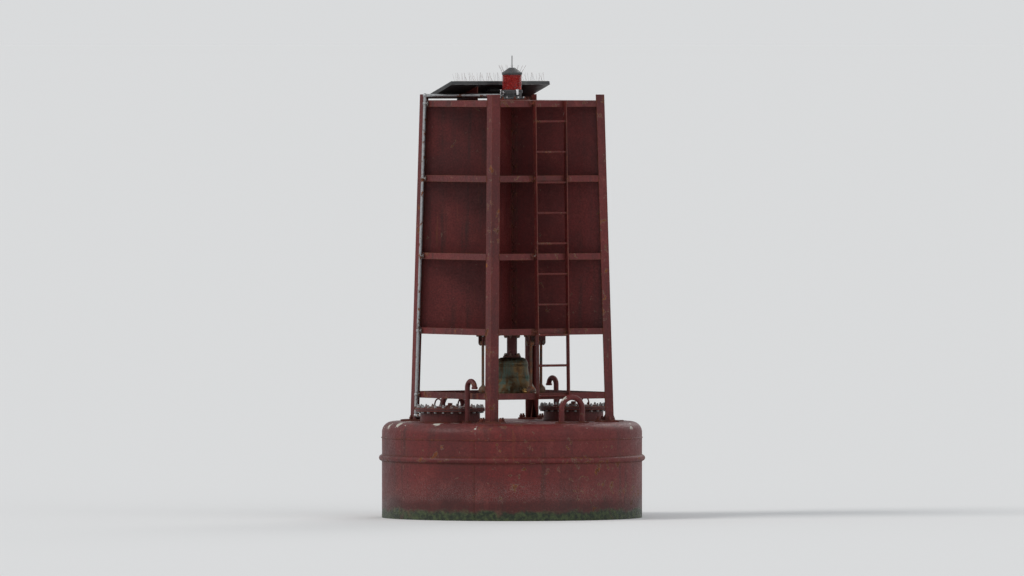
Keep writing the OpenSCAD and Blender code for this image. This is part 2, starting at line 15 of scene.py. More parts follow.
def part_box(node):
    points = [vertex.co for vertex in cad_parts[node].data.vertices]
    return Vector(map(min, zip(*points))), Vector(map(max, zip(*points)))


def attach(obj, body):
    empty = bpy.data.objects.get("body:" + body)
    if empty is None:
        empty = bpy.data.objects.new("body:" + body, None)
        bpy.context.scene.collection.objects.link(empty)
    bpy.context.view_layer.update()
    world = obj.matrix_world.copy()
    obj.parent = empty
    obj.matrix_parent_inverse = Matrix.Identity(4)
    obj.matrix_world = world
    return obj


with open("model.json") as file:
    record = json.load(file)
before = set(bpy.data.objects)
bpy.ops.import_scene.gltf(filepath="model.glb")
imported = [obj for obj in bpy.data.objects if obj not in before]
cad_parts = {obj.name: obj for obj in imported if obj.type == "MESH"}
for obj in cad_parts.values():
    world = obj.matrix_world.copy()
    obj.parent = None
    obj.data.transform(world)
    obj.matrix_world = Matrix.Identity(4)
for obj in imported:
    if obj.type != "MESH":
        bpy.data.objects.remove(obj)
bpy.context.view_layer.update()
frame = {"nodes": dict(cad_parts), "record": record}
nodes = frame["nodes"]

# Sizes read from the frame


def low(node):
    return Vector(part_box(node)[0])


def high(node):
    return Vector(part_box(node)[1])


def middle(node):
    return (low(node) + high(node)) / 2


def span(node, place):
    """Lowest and highest point of a node in a place's own axes."""
    points = [place.inverted() @ vertex.co for vertex in nodes[node].data.vertices]
    return (Vector([min(point[axis] for point in points) for axis in range(3)]),
            Vector([max(point[axis] for point in points) for axis in range(3)]))


def leg_end(is_top):
    """Height of an end of the right leg, and its corner's distance from the axis there."""
    points = [vertex.co for vertex in nodes["leg_right"].data.vertices]
    height = (max if is_top else min)(point.z for point in points)
    return height, max(point.x for point in points if abs(point.z - height) < 0.001)


hull_r = high("hull_drum").x
drum_top, drum_bottom = high("hull_drum").z, low("hull_drum").z
deck_z = high("deck_head").z
belt_z, belt_r = middle("fender_belt").z, high("fender_belt").z - middle("fender_belt").z
tail_r, tail_bottom = high("tail_tube").x, low("tail_tube").z
cone_bottom = low("bottom_cone").z
foot_z = high("foot_plates").z
rail_z = middle("guard_rail").z
bar_h = high("guard_rail").z - low("guard_rail").z
pad_z = high("bail_pads").z
bail_r = middle("lifting_bail_rear").to_2d().length
floor_z, roof_z = low("reflector_floor").z, high("reflector_roof").z
shelf_t = high("reflector_floor").z - floor_z
level_step = (roof_z - shelf_t - floor_z) / 3
bell_mouth_z, bell_crown_z, bell_mouth_r = low("bell").z, high("bell").z, high("bell").x
platform_z = high("lantern_platform").z
lens_r = high("lantern_lens").x
lens_low, lens_high = low("lantern_lens").z, high("lantern_lens").z
pocket_top, cover_z = high("battery_pocket_rear").z, high("pocket_cover_rear").z
pocket_r = middle("battery_pocket_rear").to_2d().length
flange_r = (high("battery_pocket_rear").x - low("battery_pocket_rear").x) / 2
neck_r = flange_r - 0.045

# Sizes and bearings of the part that its boxes don't give

LEG_DIRS = (270, 0, 90, 180)
FACE_DIRS = (45, 135, 225, 315)
EYE_DIRS = (135, 315)
POCKET_DIRS = (45, 225)
SOLAR_DIR, SOLAR_TILT = 135, 18
LADDER_DIR, CONDUIT_DIR = 315, 225
BOTH = (-1, 1)

seam = 0.0004
leg_flange, leg_t, bar_t = 0.09, 0.010, 0.010
vent_r, vent_bend_r = 0.024, 0.062
plate_skin = 0.003
conduit_r, conduit_out, conduit_beside = 0.015, 0.027, 0.132
ladder_half, ladder_deep, ladder_t = 0.17, 0.045, 0.010
rung_count, rung_step, rung_r = 10, 0.285, 0.011

leg_low_z, leg_low_r = leg_end(False)
leg_top_z, leg_top_r = leg_end(True)
lean = (leg_low_r - leg_top_r) / (leg_top_z - leg_low_z)
leg_lean = math.atan(lean)
face_lean = math.atan(lean * math.cos(math.pi / 4))
foot_r = leg_low_r - leg_flange / 2
foot_side = 2 * (high("foot_plates").x - foot_r)


def leg_r(z):
    """Distance of a leg's outer corner from the axis."""
    return leg_low_r - lean * (z - leg_low_z)


def face_r(z):
    """Distance of a tower face from the axis."""
    return leg_r(z) * math.cos(math.pi / 4)


def level_z(level):
    """Underside of a level plate, from the floor at 0 to the roof at 3."""
    return floor_z + level * level_step


def bar_z(level):
    """Middle of the bars at a level plate."""
    return max(floor_z + bar_h / 2, min(roof_z - bar_h / 2, level_z(level) + shelf_t / 2))


BAR_HEIGHTS = [rail_z] + [bar_z(level) for level in range(4)]

# Places


def move(x=0.0, y=0.0, z=0.0):
    return Matrix.Translation((x, y, z))


def turn(degrees, axis="Z"):
    return Matrix.Rotation(math.radians(degrees), 4, axis)


def evenly(count, first=0.0):
    """Angles evenly round a circle."""
    return [first + i * 360 / count for i in range(count)]


def at(directions, x=0.0, y=0.0, z=0.0, sides=(1,)):
    """Places x out in each direction, with y to one side or to both."""
    return [turn(direction) @ move(x, side * y, z) for direction in directions for side in sides]


def on_face(direction, z):
    """A tower face at a height: x out of the face, y along it, z up its slope."""
    return turn(direction) @ move(face_r(z), 0, z) @ Matrix.Rotation(-face_lean, 4, "Y")


def on_leg(direction, z):
    """A leg's outer corner at a height: x outward, z up the leg."""
    return turn(direction) @ move(leg_r(z), 0, z) @ Matrix.Rotation(-leg_lean, 4, "Y")


def along(start, end):
    """A place at start whose z points to end."""
    way = Vector(end) - Vector(start)
    return Matrix.Translation(start) @ way.to_track_quat("Z", "Y").to_matrix().to_4x4()


def on_panel():
    """The solar panel's middle: x down its slope and y along it."""
    return Matrix.Translation(middle("solar_frame")) @ turn(SOLAR_DIR) @ turn(SOLAR_TILT, "Y")


def panel_span(node):
    """Size of one of the solar panel's pieces along the panel's own axes."""
    lowest, highest = span(node, on_panel())
    return highest - lowest


panel_size, glass_size = panel_span("solar_frame"), panel_span("solar_glass")

# Shapes

WELD_SWELL, WELD_PITCH = 0.22, 2.8
HEX_CORNER = 0.577


def ease(mesh, edges, width):
    bmesh.ops.bevel(
        mesh, geom=list(edges), offset=width, offset_type="OFFSET", segments=1,
        profile=0.5, affect="EDGES", clamp_overlap=True, material=-1)


def edges_of(vertices):
    return {edge for vertex in vertices for edge in vertex.link_edges}


def bar(mesh, radius, length, place=Matrix(), sides=16, top=None, rim=0.0):
    """A round bar from the place's origin along its z, with an eased rim."""
    end = radius if top is None else top
    made = bmesh.ops.create_cone(
        mesh, cap_ends=True, segments=sides, radius1=radius, radius2=end, depth=length,
        matrix=place @ move(z=length / 2))
    if rim:
        ease(mesh, [edge for edge in edges_of(made["verts"])
                    if any(len(face.verts) == sides for face in edge.link_faces)], rim)


def block(mesh, size, place=Matrix(), rim=0.0):
    """A plate or block whose middle is the place's origin."""
    made = bmesh.ops.create_cube(mesh, size=1, matrix=place @ Matrix.Diagonal((*size, 1)))
    if rim:
        ease(mesh, edges_of(made["verts"]), rim)


def swept(mesh, circle, **sweep):
    """Sweeps a circle of vertices round an axis."""
    bmesh.ops.spin(mesh, geom=circle + list(edges_of(circle)), dvec=(0, 0, 0),
                   use_duplicate=False, **sweep)


def ring(mesh, radius, thick, steps=96, sides=8, ripples=0, flat=1.0):
    """A round ring about z, rippled like a weld where ripples are given."""
    circle = bmesh.ops.create_circle(
        mesh, segments=sides, radius=thick, matrix=move(x=radius) @ turn(90, "X"))["verts"]
    bmesh.ops.scale(mesh, vec=(1, 1, flat), verts=circle)
    swept(mesh, circle, cent=(0, 0, 0), axis=(0, 0, 1), angle=math.radians(360), steps=steps,
          use_merge=True)
    for vertex in mesh.verts if ripples else ():
        around = math.atan2(vertex.co.y, vertex.co.x)
        core = Vector((math.cos(around), math.sin(around), 0)) * radius
        swell = 1 + WELD_SWELL * math.sin(ripples * around)
        vertex.co = core + (vertex.co - core) * swell


def bead(mesh, length, thick):
    """A rippled weld along z, drawn in at its two ends."""
    bar(mesh, thick, length, sides=6)
    sides = [edge for edge in mesh.edges
             if abs(edge.verts[0].co.z - edge.verts[1].co.z) > length / 2]
    cuts = max(3, int(length / thick / (WELD_PITCH / 2)))
    bmesh.ops.subdivide_edges(mesh, edges=sides, cuts=cuts)
    pitch = thick * WELD_PITCH
    for vertex in mesh.verts:
        swell = 1 + WELD_SWELL * math.sin(vertex.co.z / pitch * 2 * math.pi)
        fade = 0.45 if vertex.co.z < thick / 2 or vertex.co.z > length - thick / 2 else 1
        vertex.co.xy = vertex.co.xy * swell * fade


def hex_bolt(mesh, across, tall):
    """Washer and hexagon head, seated on z = 0."""
    washer_r, washer_t = across * 0.78, across * 0.1
    bar(mesh, washer_r, washer_t, sides=14)
    bar(mesh, across * HEX_CORNER, tall, move(z=washer_t), sides=6, rim=across * 0.06)


def stud_nut(mesh, across, tall):
    """Washer, nut and the end of its stud."""
    stud_r, stud_h = across * 0.32, tall * 1.9
    hex_bolt(mesh, across, tall)
    bar(mesh, stud_r, stud_h, sides=8, rim=across * 0.04)


def u_bar(mesh, width, height, thick, steps=14, sides=10):
    """A round bar bent to a U that stands on its two ends, y across."""
    bend = width / 2
    straight = height - bend
    overlap = 0.002
    for side in BOTH:
        bar(mesh, thick, straight + overlap, move(y=side * bend), sides=sides)
    circle = bmesh.ops.create_circle(
        mesh, segments=sides, radius=thick, matrix=move(y=bend, z=straight))["verts"]
    swept(mesh, circle, cent=(0, 0, straight), axis=(1, 0, 0), angle=math.pi, steps=steps,
          use_merge=False)
    bmesh.ops.holes_fill(mesh, edges=mesh.edges, sides=sides)


def mesh_data(name, mesh):
    """Data from a finished bmesh."""
    data = bpy.data.meshes.new(name)
    mesh.to_mesh(data)
    mesh.free()
    return data


def new_object(name, data):
    made = bpy.data.objects.new(name, data)
    bpy.context.scene.collection.objects.link(made)
    return made


def shape(build, *sizes, **named):
    """A mesh to stamp, built once about the origin."""
    mesh = bmesh.new()
    build(mesh, *sizes, **named)
    bmesh.ops.remove_doubles(mesh, verts=mesh.verts, dist=1e-6)
    bmesh.ops.recalc_face_normals(mesh, faces=mesh.faces)
    return mesh_data("shape", mesh)


def stamp(mesh, data, places):
    """Copies of a shape at each of the places."""
    for place in places:
        copy = data.copy()
        copy.transform(place)
        mesh.from_mesh(copy)
        bpy.data.meshes.remove(copy)


def piece(build, material, slot, *values, name=None, body="root", sharp=38):
    """A piece of the buoy that rides on a body, made by the function whose name it has."""
    mesh = bmesh.new()
    build(mesh, *values)
    bmesh.ops.recalc_face_normals(mesh, faces=mesh.faces)
    name = name or build.__name__
    data = mesh_data(name, mesh)
    data.shade_smooth()
    data.set_sharp_from_angle(angle=math.radians(sharp))
    data.materials.append(material)
    made = new_object(name, data)
    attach(made, body)


# Shader building


def is_socket(value):
    return isinstance(value, bpy.types.NodeSocket)


def add(near, kind, inputs=None, **settings):
    """A node in a tree, or in the tree of a socket near it, with its inputs and settings."""
    tree = near.id_data
    node = tree.nodes.new(kind)
    for name, value in settings.items():
        setattr(node, name, value)
    for name, value in (inputs or {}).items():
        if is_socket(value):
            tree.links.new(value, node.inputs[name])
        else:
            node.inputs[name].default_value = value
    return node


def maths(operation, *values, kind="ShaderNodeMath", result=0, **settings):
    """The result of one operation on sockets and plain values."""
    near = next(value for value in values if is_socket(value))
    return add(near, kind, dict(enumerate(values)), operation=operation, **settings).outputs[result]


def vector_maths(operation, *values, result=0):
    return maths(operation, *values, kind="ShaderNodeVectorMath", result=result)


def times(value, factor):
    return maths("MULTIPLY", value, factor)


def plus(value, amount):
    return maths("ADD", value, amount)


def larger(value, other):
    return maths("MAXIMUM", value, other)


def rest(value):
    """What is left of 1 after a value."""
    return maths("SUBTRACT", 1.0, value)


def lift(value, factor, base, clamp=False):
    """A base raised by a value times a factor."""
    return maths("MULTIPLY_ADD", value, factor, base, use_clamp=clamp)


def step(value, start, end):
    """0 below start and 1 above end, with a soft change between them."""
    return add(value, "ShaderNodeMapRange", {"Value": value, "From Min": start, "From Max": end},
               interpolation_type="SMOOTHSTEP").outputs[0]


def blend(amount, under, over, share=1.0):
    """Lays one colour over another by an amount, or by a share of it."""
    if share != 1.0:
        amount = times(amount, share)
    return add(amount, "ShaderNodeMix", {0: amount, 6: under, 7: over},
               data_type="RGBA").outputs[2]


def noise(place, scale, detail=4.0, rough=0.55, bend=0.0):
    return add(place, "ShaderNodeTexNoise",
               {"Vector": place, "Scale": scale, "Detail": detail, "Roughness": rough,
                "Distortion": bend}).outputs[0]


def cells(place, scale):
    """A pattern of cells, with each cell's own colour and the distance from its middle."""
    return add(place, "ShaderNodeTexVoronoi", {"Vector": place, "Scale": scale}).outputs


def tone_of(colour):
    """One number out of a colour."""
    return add(colour, "ShaderNodeSeparateColor", {"Color": colour}).outputs[0]


def stretched(place, across, upright):
    """A place scaled so that patterns on it run up and down."""
    return vector_maths("MULTIPLY", place, (across, across, upright))


def z_of(vector):
    return add(vector, "ShaderNodeSeparateXYZ", {"Vector": vector}).outputs["Z"]


def normal_at(place):
    return add(place, "ShaderNodeNewGeometry").outputs["Normal"]


def new_group(name, **inputs):
    """An empty shader group with a place and named numbers to read."""
    tree = bpy.data.node_groups.new(name, "ShaderNodeTree")
    tree.interface.new_socket("Place", in_out="INPUT", socket_type="NodeSocketVector")
    for label, value in inputs.items():
        socket = tree.interface.new_socket(label, in_out="INPUT", socket_type="NodeSocketFloat")
        socket.default_value = value
    given = tree.nodes.new("NodeGroupInput").outputs
    return given["Place"], given


def close_group(**results):
    """Ties a group's results to outputs of the same names."""
    tree = next(iter(results.values())).id_data
    for label, result in results.items():
        kind = "NodeSocketColor" if result.type == "RGBA" else "NodeSocketFloat"
        tree.interface.new_socket(label, in_out="OUTPUT", socket_type=kind)
    add(tree, "NodeGroupOutput", results)
    return tree


def use(group, place, **inputs):
    """Places a shader group and gives its outputs, or the only one."""
    outputs = add(place, "ShaderNodeGroup", {"Place": place, **inputs}, node_tree=group).outputs
    return outputs if len(outputs) > 1 else outputs[0]


def worn_edges():
    """Where edges stick out and lose their coat."""
    place, given = new_group("worn edges", Reach=0.006, Amount=0.5)
    rounded = add(place, "ShaderNodeBevel", {"Radius": given["Reach"]}, samples=4).outputs[0]
    same = vector_maths("DOT_PRODUCT", rounded, normal_at(place), result="Value")
    edge = step(rest(same), 0.015, 0.12)
    start = times(rest(given["Amount"]), 0.95)
    end = lift(rest(given["Amount"]), 0.95, 0.12)
    broken = step(noise(place, 11.0, 5.0, 0.62), start, end)
    return close_group(Worn=times(edge, broken))


def crevice_shade_and_grime():
    """Painted shade and grime: a mask that darkens colour in corners and under flanges, where
    ambient occlusion finds the surface closed in.
    """
    place, given = new_group("crevice_shade_and_grime", Reach=0.06)
    openness = add(place, "ShaderNodeAmbientOcclusion", {"Distance": given["Reach"]},
                   samples=3).outputs["AO"]
    # Closed-in places get the mask, which paints shade there and is broken up by noise like grime.
    closed = rest(step(openness, 0.45, 0.95))
    broken = step(noise(place, 19.0, 5.0, 0.62), 0.30, 0.62)
    return close_group(Grime=times(closed, broken))


def run_marks():
    """Marks that rain has drawn down upright faces."""
    place, given = new_group("run marks", Across=16.0, Along=0.9, Start=0.52, End=0.72)
    axes = add(place, "ShaderNodeCombineXYZ",
               {"X": given["Across"], "Y": given["Across"], "Z": given["Along"]}).outputs[0]
    fine = noise(vector_maths("MULTIPLY", place, axes), 1.0, 5.0, 0.6, 0.25)
    mark = step(fine, given["Start"], given["End"])
    return close_group(Mark=times(mark, step(noise(place, 1.7, 3.0), 0.38, 0.6)))


def lost_paint():
    """Chips and blisters where the coat has gone."""
    place, given = new_group("lost paint", Size=14.0, Start=0.64, End=0.67)
    spots = noise(place, given["Size"], 7.0, 0.62, 0.4)
    chance = lift(noise(place, 1.3, 3.0), 0.34, -0.17)
    return close_group(Chip=step(plus(spots, chance), given["Start"], given["End"]))


def rust_bloom():
    """Colour and relief of rust, from black scale to fresh orange."""
    place, given = new_group("rust bloom", Size=24.0)
    coarse = noise(place, given["Size"], 8.0, 0.66, 0.3)
    grain = noise(place, times(given["Size"], 6.0), 4.0, 0.6)
    mixed = lift(grain, 0.35, times(coarse, 0.65))
    ramp = add(place, "ShaderNodeValToRGB", {"Fac": mixed})
    stops = ramp.color_ramp.elements
    stops[0].position, stops[0].color = 0.34, (0.030, 0.012, 0.008, 1)
    stops[1].position, stops[1].color = 0.68, (0.330, 0.110, 0.030, 1)
    for position, colour in ((0.45, (0.085, 0.028, 0.012, 1)), (0.56, (0.185, 0.055, 0.018, 1))):
        stops.new(position).color = colour
    return close_group(Colour=ramp.outputs["Color"], Relief=mixed)


def tide_marks():
    """What the sea leaves by height: growth, a wet band and a salt line."""
    place, _ = new_group("tide marks")
    ragged = lift(noise(place, 4.0, 6.0, 0.6), 0.16, -0.08)
    fringe = lift(noise(place, 38.0, 3.0, 0.6), 0.05, -0.025)
    level = plus(z_of(place), plus(ragged, fringe))
    band = times(step(level, 0.15, 0.21), rest(step(level, 0.22, 0.46)))
    crust = step(noise(place, 150.0, 6.0, 0.70), 0.44, 0.80)
    return close_group(Growth=rest(step(level, 0.060, 0.110)), Wet=rest(step(level, 0.13, 0.25)),
                       Salt=times(band, crust))


def bird_lime():
    """Droppings on what faces up, and their runs down from high perches."""
    place, given = new_group("bird lime", Lowest=1.0, Amount=0.5)
    facing = z_of(normal_at(place))
    above = step(z_of(place), given["Lowest"], plus(given["Lowest"], 0.2))
    swirl = add(place, "ShaderNodeTexNoise",
                {"Vector": place, "Scale": 14.0, "Detail": 5.0}).outputs["Color"]
    bent = vector_maths("MULTIPLY_ADD", swirl, (0.11, 0.11, 0.11), place)
    splash = cells(bent, 7.0)
    chance = tone_of(splash["Color"])
    reach = times(times(chance, chance), times(given["Amount"], 0.85))
    pool = maths("SUBTRACT", reach, splash["Distance"])
    drops = cells(bent, 38.0)["Distance"]
    spatter = times(step(pool, -0.16, -0.04), rest(step(drops, 0.16, 0.24)))
    spot = larger(step(pool, 0.0, 0.03), times(spatter, step(reach, 0.08, 0.16)))
    lying = times(spot, step(facing, 0.25, 0.6))
    runs = noise(stretched(bent, 24.0, 1.7), 1.0, 4.0, 0.6)
    start = lift(given["Amount"], -0.10, 0.72)
    hanging = times(step(runs, start, plus(start, 0.09)), step(noise(place, 2.6, 4.0), 0.52, 0.66))
    upright = rest(step(maths("ABSOLUTE", facing), 0.3, 0.6))
    hanging = times(times(hanging, upright), 0.6)
    return close_group(Lime=times(larger(lying, hanging), above))


def plate_relief():
    """Height in metres of hand-welded plate: waves between its frames, pits and brush marks."""
    place, given = new_group("plate relief", Wave=0.006, Pit=0.0008)
    height = times(noise(place, 2.3, 2.0, 0.4), given["Wave"])
    height = lift(noise(place, 55.0, 6.0, 0.65), given["Pit"], height)
    height = lift(noise(place, 260.0, 2.0, 0.5), 0.00025, height)
    return close_group(Height=height)


def bottom_paint():
    """Dull red-brown bottom paint with patches of slime: its colour and where the slime is."""
    place, _ = new_group("bottom paint")
    patch = step(noise(place, 1.6, 6.0, 0.6, 0.4), 0.38, 0.62)
    colour = blend(patch, (0.060, 0.022, 0.018, 1), (0.135, 0.046, 0.034, 1))
    slime = step(noise(place, 7.0, 7.0, 0.66, 0.5), 0.42, 0.62)
    return close_group(Colour=blend(slime, colour, (0.038, 0.045, 0.024, 1), 0.75), Slime=slime)


def machined_lay():
    """Fine lines left round a piece by its machining."""
    place, _ = new_group("machined lay")
    return close_group(Lay=noise(stretched(place, 12.0, 420.0), 1.0, 3.0))


edges_group = worn_edges()
crevice_shade_and_grime_group = crevice_shade_and_grime()
runs_group = run_marks()
chips_group = lost_paint()
rust_group = rust_bloom()
tide_group = tide_marks()
lime_group = bird_lime()
relief_group = plate_relief()
bottom_group = bottom_paint()
lay_group = machined_lay()

# Finishes

RED_DEEP = (0.085, 0.010, 0.010, 1)
RED_FRESH = (0.140, 0.015, 0.014, 1)
RED_FADED = (0.215, 0.048, 0.040, 1)
PRIMER = (0.16, 0.10, 0.075, 1)
RUST_STAIN = (0.180, 0.058, 0.017, 1)
GROWTH_DARK, GROWTH_LIGHT = (0.012, 0.020, 0.010, 1), (0.055, 0.075, 0.028, 1)
LIME = (0.54, 0.52, 0.46, 1)
SALT = (0.52, 0.50, 0.47, 1)


def finish(name, build, *values, fixed=None, **named):
    """A material. A function gives what changes over it: colour, roughness, height, metal."""
    material = bpy.data.materials.new(name)
    material.use_nodes = True
    tree = material.node_tree
    shader = tree.nodes["Principled BSDF"]
    for label, value in (fixed or {}).items():
        shader.inputs[label].default_value = value
    place = add(tree, "ShaderNodeTexCoord").outputs["Object"]
    colour, roughness, height, *metal = build(place, *values, **named)
    bump = add(tree, "ShaderNodeBump", {"Height": height, "Distance": 1.0, "Strength": 1.0})
    tree.links.new(colour, shader.inputs["Base Color"])
    tree.links.new(roughness, shader.inputs["Roughness"])
    tree.links.new(bump.outputs[0], shader.inputs["Normal"])
    for socket in metal:
        tree.links.new(socket, shader.inputs["Metallic"])
    return material


def sea_coat(place, colour, roughness, height):
    """Lays growth, wet and salt over a coat that stands in the sea, thinner with depth."""
    tide = use(tide_group, place)
    mottled = step(noise(place, 22.0, 6.0, 0.65), 0.4, 0.66)
    depth = rest(step(z_of(place), -0.70, -0.06))
    thin = step(lift(depth, 0.30, noise(place, 3.1, 6.0, 0.62, 0.3)), 0.58, 0.70)
    bottom = use(bottom_group, place)["Colour"]
    growth = blend(thin, blend(mottled, GROWTH_DARK, GROWTH_LIGHT), bottom)
    colour = blend(tide["Wet"], colour, (0.02, 0.012, 0.01, 1), 0.5)
    colour = blend(tide["Salt"], colour, SALT, 0.30)
    colour = blend(tide["Growth"], colour, growth)
    roughness = lift(tide["Salt"], 0.2, lift(tide["Wet"], -0.08, roughness), clamp=True)
    shag = times(noise(place, 85.0, 5.0, 0.7), 0.006)
    return colour, roughness, lift(shag, tide["Growth"], height)


def red_coat(place, wear, chips, lime, wave, afloat):
    """Brushed-on red marine paint that the sea and the sun have worked on for years."""
    cloud = noise(place, 5.5, 6.0, 0.62)
    grain = noise(place, 58.0, 7.0, 0.70)
    hollow = rest(step(grain, 0.40, 0.58))
    dirt = use(runs_group, place, Across=13.0, Along=0.7, Start=0.46, End=0.74)
    chip = use(chips_group, place, Size=13.0, Start=chips, End=chips + 0.018)
    bared = use(chips_group, place, Size=13.0, Start=chips - 0.022, End=chips - 0.008)
    bare = larger(use(edges_group, place, Reach=0.007, Amount=wear), chip)
    weeping = use(runs_group, place, Across=24.0, Along=1.3, Start=0.60, End=0.80)
    rust = use(rust_group, place)
    droppings = use(lime_group, place, Lowest=0.66, Amount=lime)

    colour = blend(step(noise(place, 0.9, 5.0, 0.6, 0.3), 0.36, 0.64), RED_DEEP, RED_FRESH)
    colour = blend(step(cloud, 0.5, 0.78), colour, RED_FADED, 0.55)
    colour = blend(hollow, colour, (0.050, 0.013, 0.012, 1), 0.45)
    colour = blend(step(grain, 0.56, 0.74), colour, RED_FADED, 0.30)
    colour = blend(dirt, colour, (0.022, 0.012, 0.010, 1), 0.62)
    colour = blend(maths("SUBTRACT", bared, chip, use_clamp=True), colour, PRIMER, 0.7)
    # Painted shade and grime: dark brown laid into corners and under flanges by the
    # ambient-occlusion mask.
    colour = blend(use(crevice_shade_and_grime_group, place, Reach=0.055), colour, (0.060, 0.022, 0.012, 1), 0.75)
    colour = blend(weeping, colour, RUST_STAIN, 0.72)
    colour = blend(bare, colour, rust["Colour"])
    colour = blend(droppings, colour, LIME, 0.9)

    roughness = lift(hollow, 0.16, lift(cloud, 0.36, 0.28))
    roughness = larger(larger(roughness, times(bare, 0.88)), times(droppings, 0.8))

    height = use(relief_group, place, Wave=wave, Pit=0.0013)
    height = lift(bare, -0.0007, height)
    height = plus(height, times(times(rust["Relief"], bare), 0.0022))
    height = lift(droppings, 0.0008, height)
    if afloat:
        deck = step(z_of(normal_at(place)), 0.90, 0.98)
        height = lift(times(deck, noise(place, 330.0, 3.0, 0.6)), 0.0012, height)
        colour, roughness, height = sea_coat(place, colour, roughness, height)
    return colour, roughness, height


def antifouling_coat(place):
    """Bottom paint under slime and shell, with rust where it has flaked."""
    bottom = use(bottom_group, place)
    chip = use(chips_group, place, Size=9.0, Start=0.60, End=0.63)
    bare = larger(chip, use(edges_group, place, Reach=0.01, Amount=0.62))
    colour = blend(bare, bottom["Colour"], use(rust_group, place, Size=18.0)["Colour"])
    where = step(noise(place, 3.4, 4.0), 0.50, 0.60)
    crust = times(rest(step(cells(place, 48.0)["Distance"], 0.22, 0.34)), where)
    colour = blend(crust, colour, (0.42, 0.40, 0.34, 1), 0.75)
    height = use(relief_group, place, Wave=0.005, Pit=0.0016)
    height = lift(bare, -0.001, lift(crust, 0.003, height))
    return colour, lift(bottom["Slime"], -0.25, 0.78), height


def scaly_iron(place, dark, light, growth):
    """Rough iron or steel that has never been painted, or has lost its paint."""
    rust = use(rust_group, place, Size=15.0)
    worn = use(edges_group, place, Reach=0.004, Amount=0.75)
    colour = blend(step(noise(place, 6.0, 6.0, 0.6, 0.3), 0.38, 0.64), dark, light)
    colour = blend(step(rust["Relief"], 0.42, 0.62), colour, rust["Colour"])
    colour = blend(worn, colour, (0.30, 0.27, 0.24, 1), 0.6)
    if growth:
        green = step(noise(place, 5.0, 7.0, 0.65, 0.4), 0.45, 0.62)
        colour = blend(green, colour, GROWTH_LIGHT, 0.8)
    roughness = lift(rust["Relief"], 0.5, 0.40, clamp=True)
    height = lift(rust["Relief"], 0.0025, use(relief_group, place, Wave=0.003, Pit=0.0030))
    return colour, roughness, height, times(worn, 0.6)


def zinc_block(place):
    """Sacrificial metal, eaten into hollows under a white crust."""
    eaten = noise(place, 28.0, 7.0, 0.66, 0.5)
    colour = blend(step(eaten, 0.36, 0.62), (0.16, 0.16, 0.155, 1), (0.50, 0.50, 0.48, 1))
    slime = step(noise(place, 9.0, 5.0), 0.5, 0.7)
    colour = blend(slime, colour, (0.07, 0.075, 0.05, 1), 0.5)
    return colour, lift(eaten, 0.4, 0.5), times(eaten, 0.010)


def galvanised_steel(place):
    """Hot-dip zinc on steel with faint spangle, white bloom and the first rust."""
    spangle = tone_of(cells(place, 120.0)["Color"])
    bloom = step(noise(place, 16.0, 6.0, 0.6), 0.5, 0.7)
    chip = use(chips_group, place, Size=22.0, Start=0.55, End=0.61)
    bare = larger(chip, use(edges_group, place, Reach=0.003, Amount=0.62))
    colour = blend(spangle, (0.27, 0.28, 0.29, 1), (0.42, 0.43, 0.44, 1))
    colour = blend(bloom, colour, (0.42, 0.42, 0.40, 1), 0.6)
    # Painted shade and grime: rust brown laid into corners and round fittings by the
    # ambient-occlusion mask.
    colour = blend(use(crevice_shade_and_grime_group, place, Reach=0.02), colour, (0.110, 0.052, 0.026, 1), 0.7)
    colour = blend(bare, colour, use(rust_group, place, Size=30.0)["Colour"])
    clean = rest(larger(bloom, bare))
    height = use(relief_group, place, Wave=0.0005, Pit=0.0004)
    return colour, lift(clean, -0.3, 0.82), height, times(clean, 0.85)


def bell_bronze(place):
    """Cast bronze gone brown and green, bright where the tappers strike."""
    cast = step(noise(place, 9.0, 6.0, 0.6), 0.35, 0.65)
    runs = use(runs_group, place, Across=26.0, Along=2.5, Start=0.44, End=0.66)
    crust = step(noise(place, 14.0, 7.0, 0.66, 0.3), 0.50, 0.66)
    green = larger(times(runs, 0.75), crust)
    strike = Vector((1, 1, 0)).normalized() * (bell_mouth_r - 0.008)
    strike.z = bell_mouth_z + 0.036
    away = vector_maths("DISTANCE", vector_maths("ABSOLUTE", place), strike, result="Value")
    bright = rest(step(lift(noise(place, 60.0, 4.0), 0.03, away), 0.040, 0.058))
    colour = blend(cast, (0.060, 0.034, 0.017, 1), (0.130, 0.078, 0.034, 1))
    colour = blend(green, colour, (0.062, 0.125, 0.100, 1), 0.8)
    colour = blend(bright, colour, (0.50, 0.32, 0.12, 1))
    roughness = lift(bright, -0.2, lift(green, 0.35, 0.42), clamp=True)
    height = lift(green, 0.0004, times(noise(place, 130.0, 5.0, 0.6), 0.0008))
    height = lift(times(noise(place, 85.0, 2.0), bright), 0.0015, height)
    metal = larger(maths("SUBTRACT", 0.95, times(green, 0.85), use_clamp=True), bright)
    return colour, roughness, height, metal


def lantern_coat(place):
    """Dark powder coat, chalked by the sun and scuffed to metal on its edges."""
    chalk = step(noise(place, 18.0, 6.0, 0.62), 0.40, 0.72)
    worn = use(edges_group, place, Reach=0.003, Amount=0.6)
    droppings = use(lime_group, place, Lowest=3.6, Amount=0.75)
    colour = blend(chalk, (0.022, 0.023, 0.025, 1), (0.085, 0.087, 0.09, 1))
    colour = blend(worn, colour, (0.45, 0.45, 0.46, 1))
    colour = blend(droppings, colour, LIME, 0.85)
    height = lift(droppings, 0.0006, times(noise(place, 420.0, 2.0), 0.00025))
    return colour, lift(chalk, 0.3, 0.42), height, times(worn, 0.8)


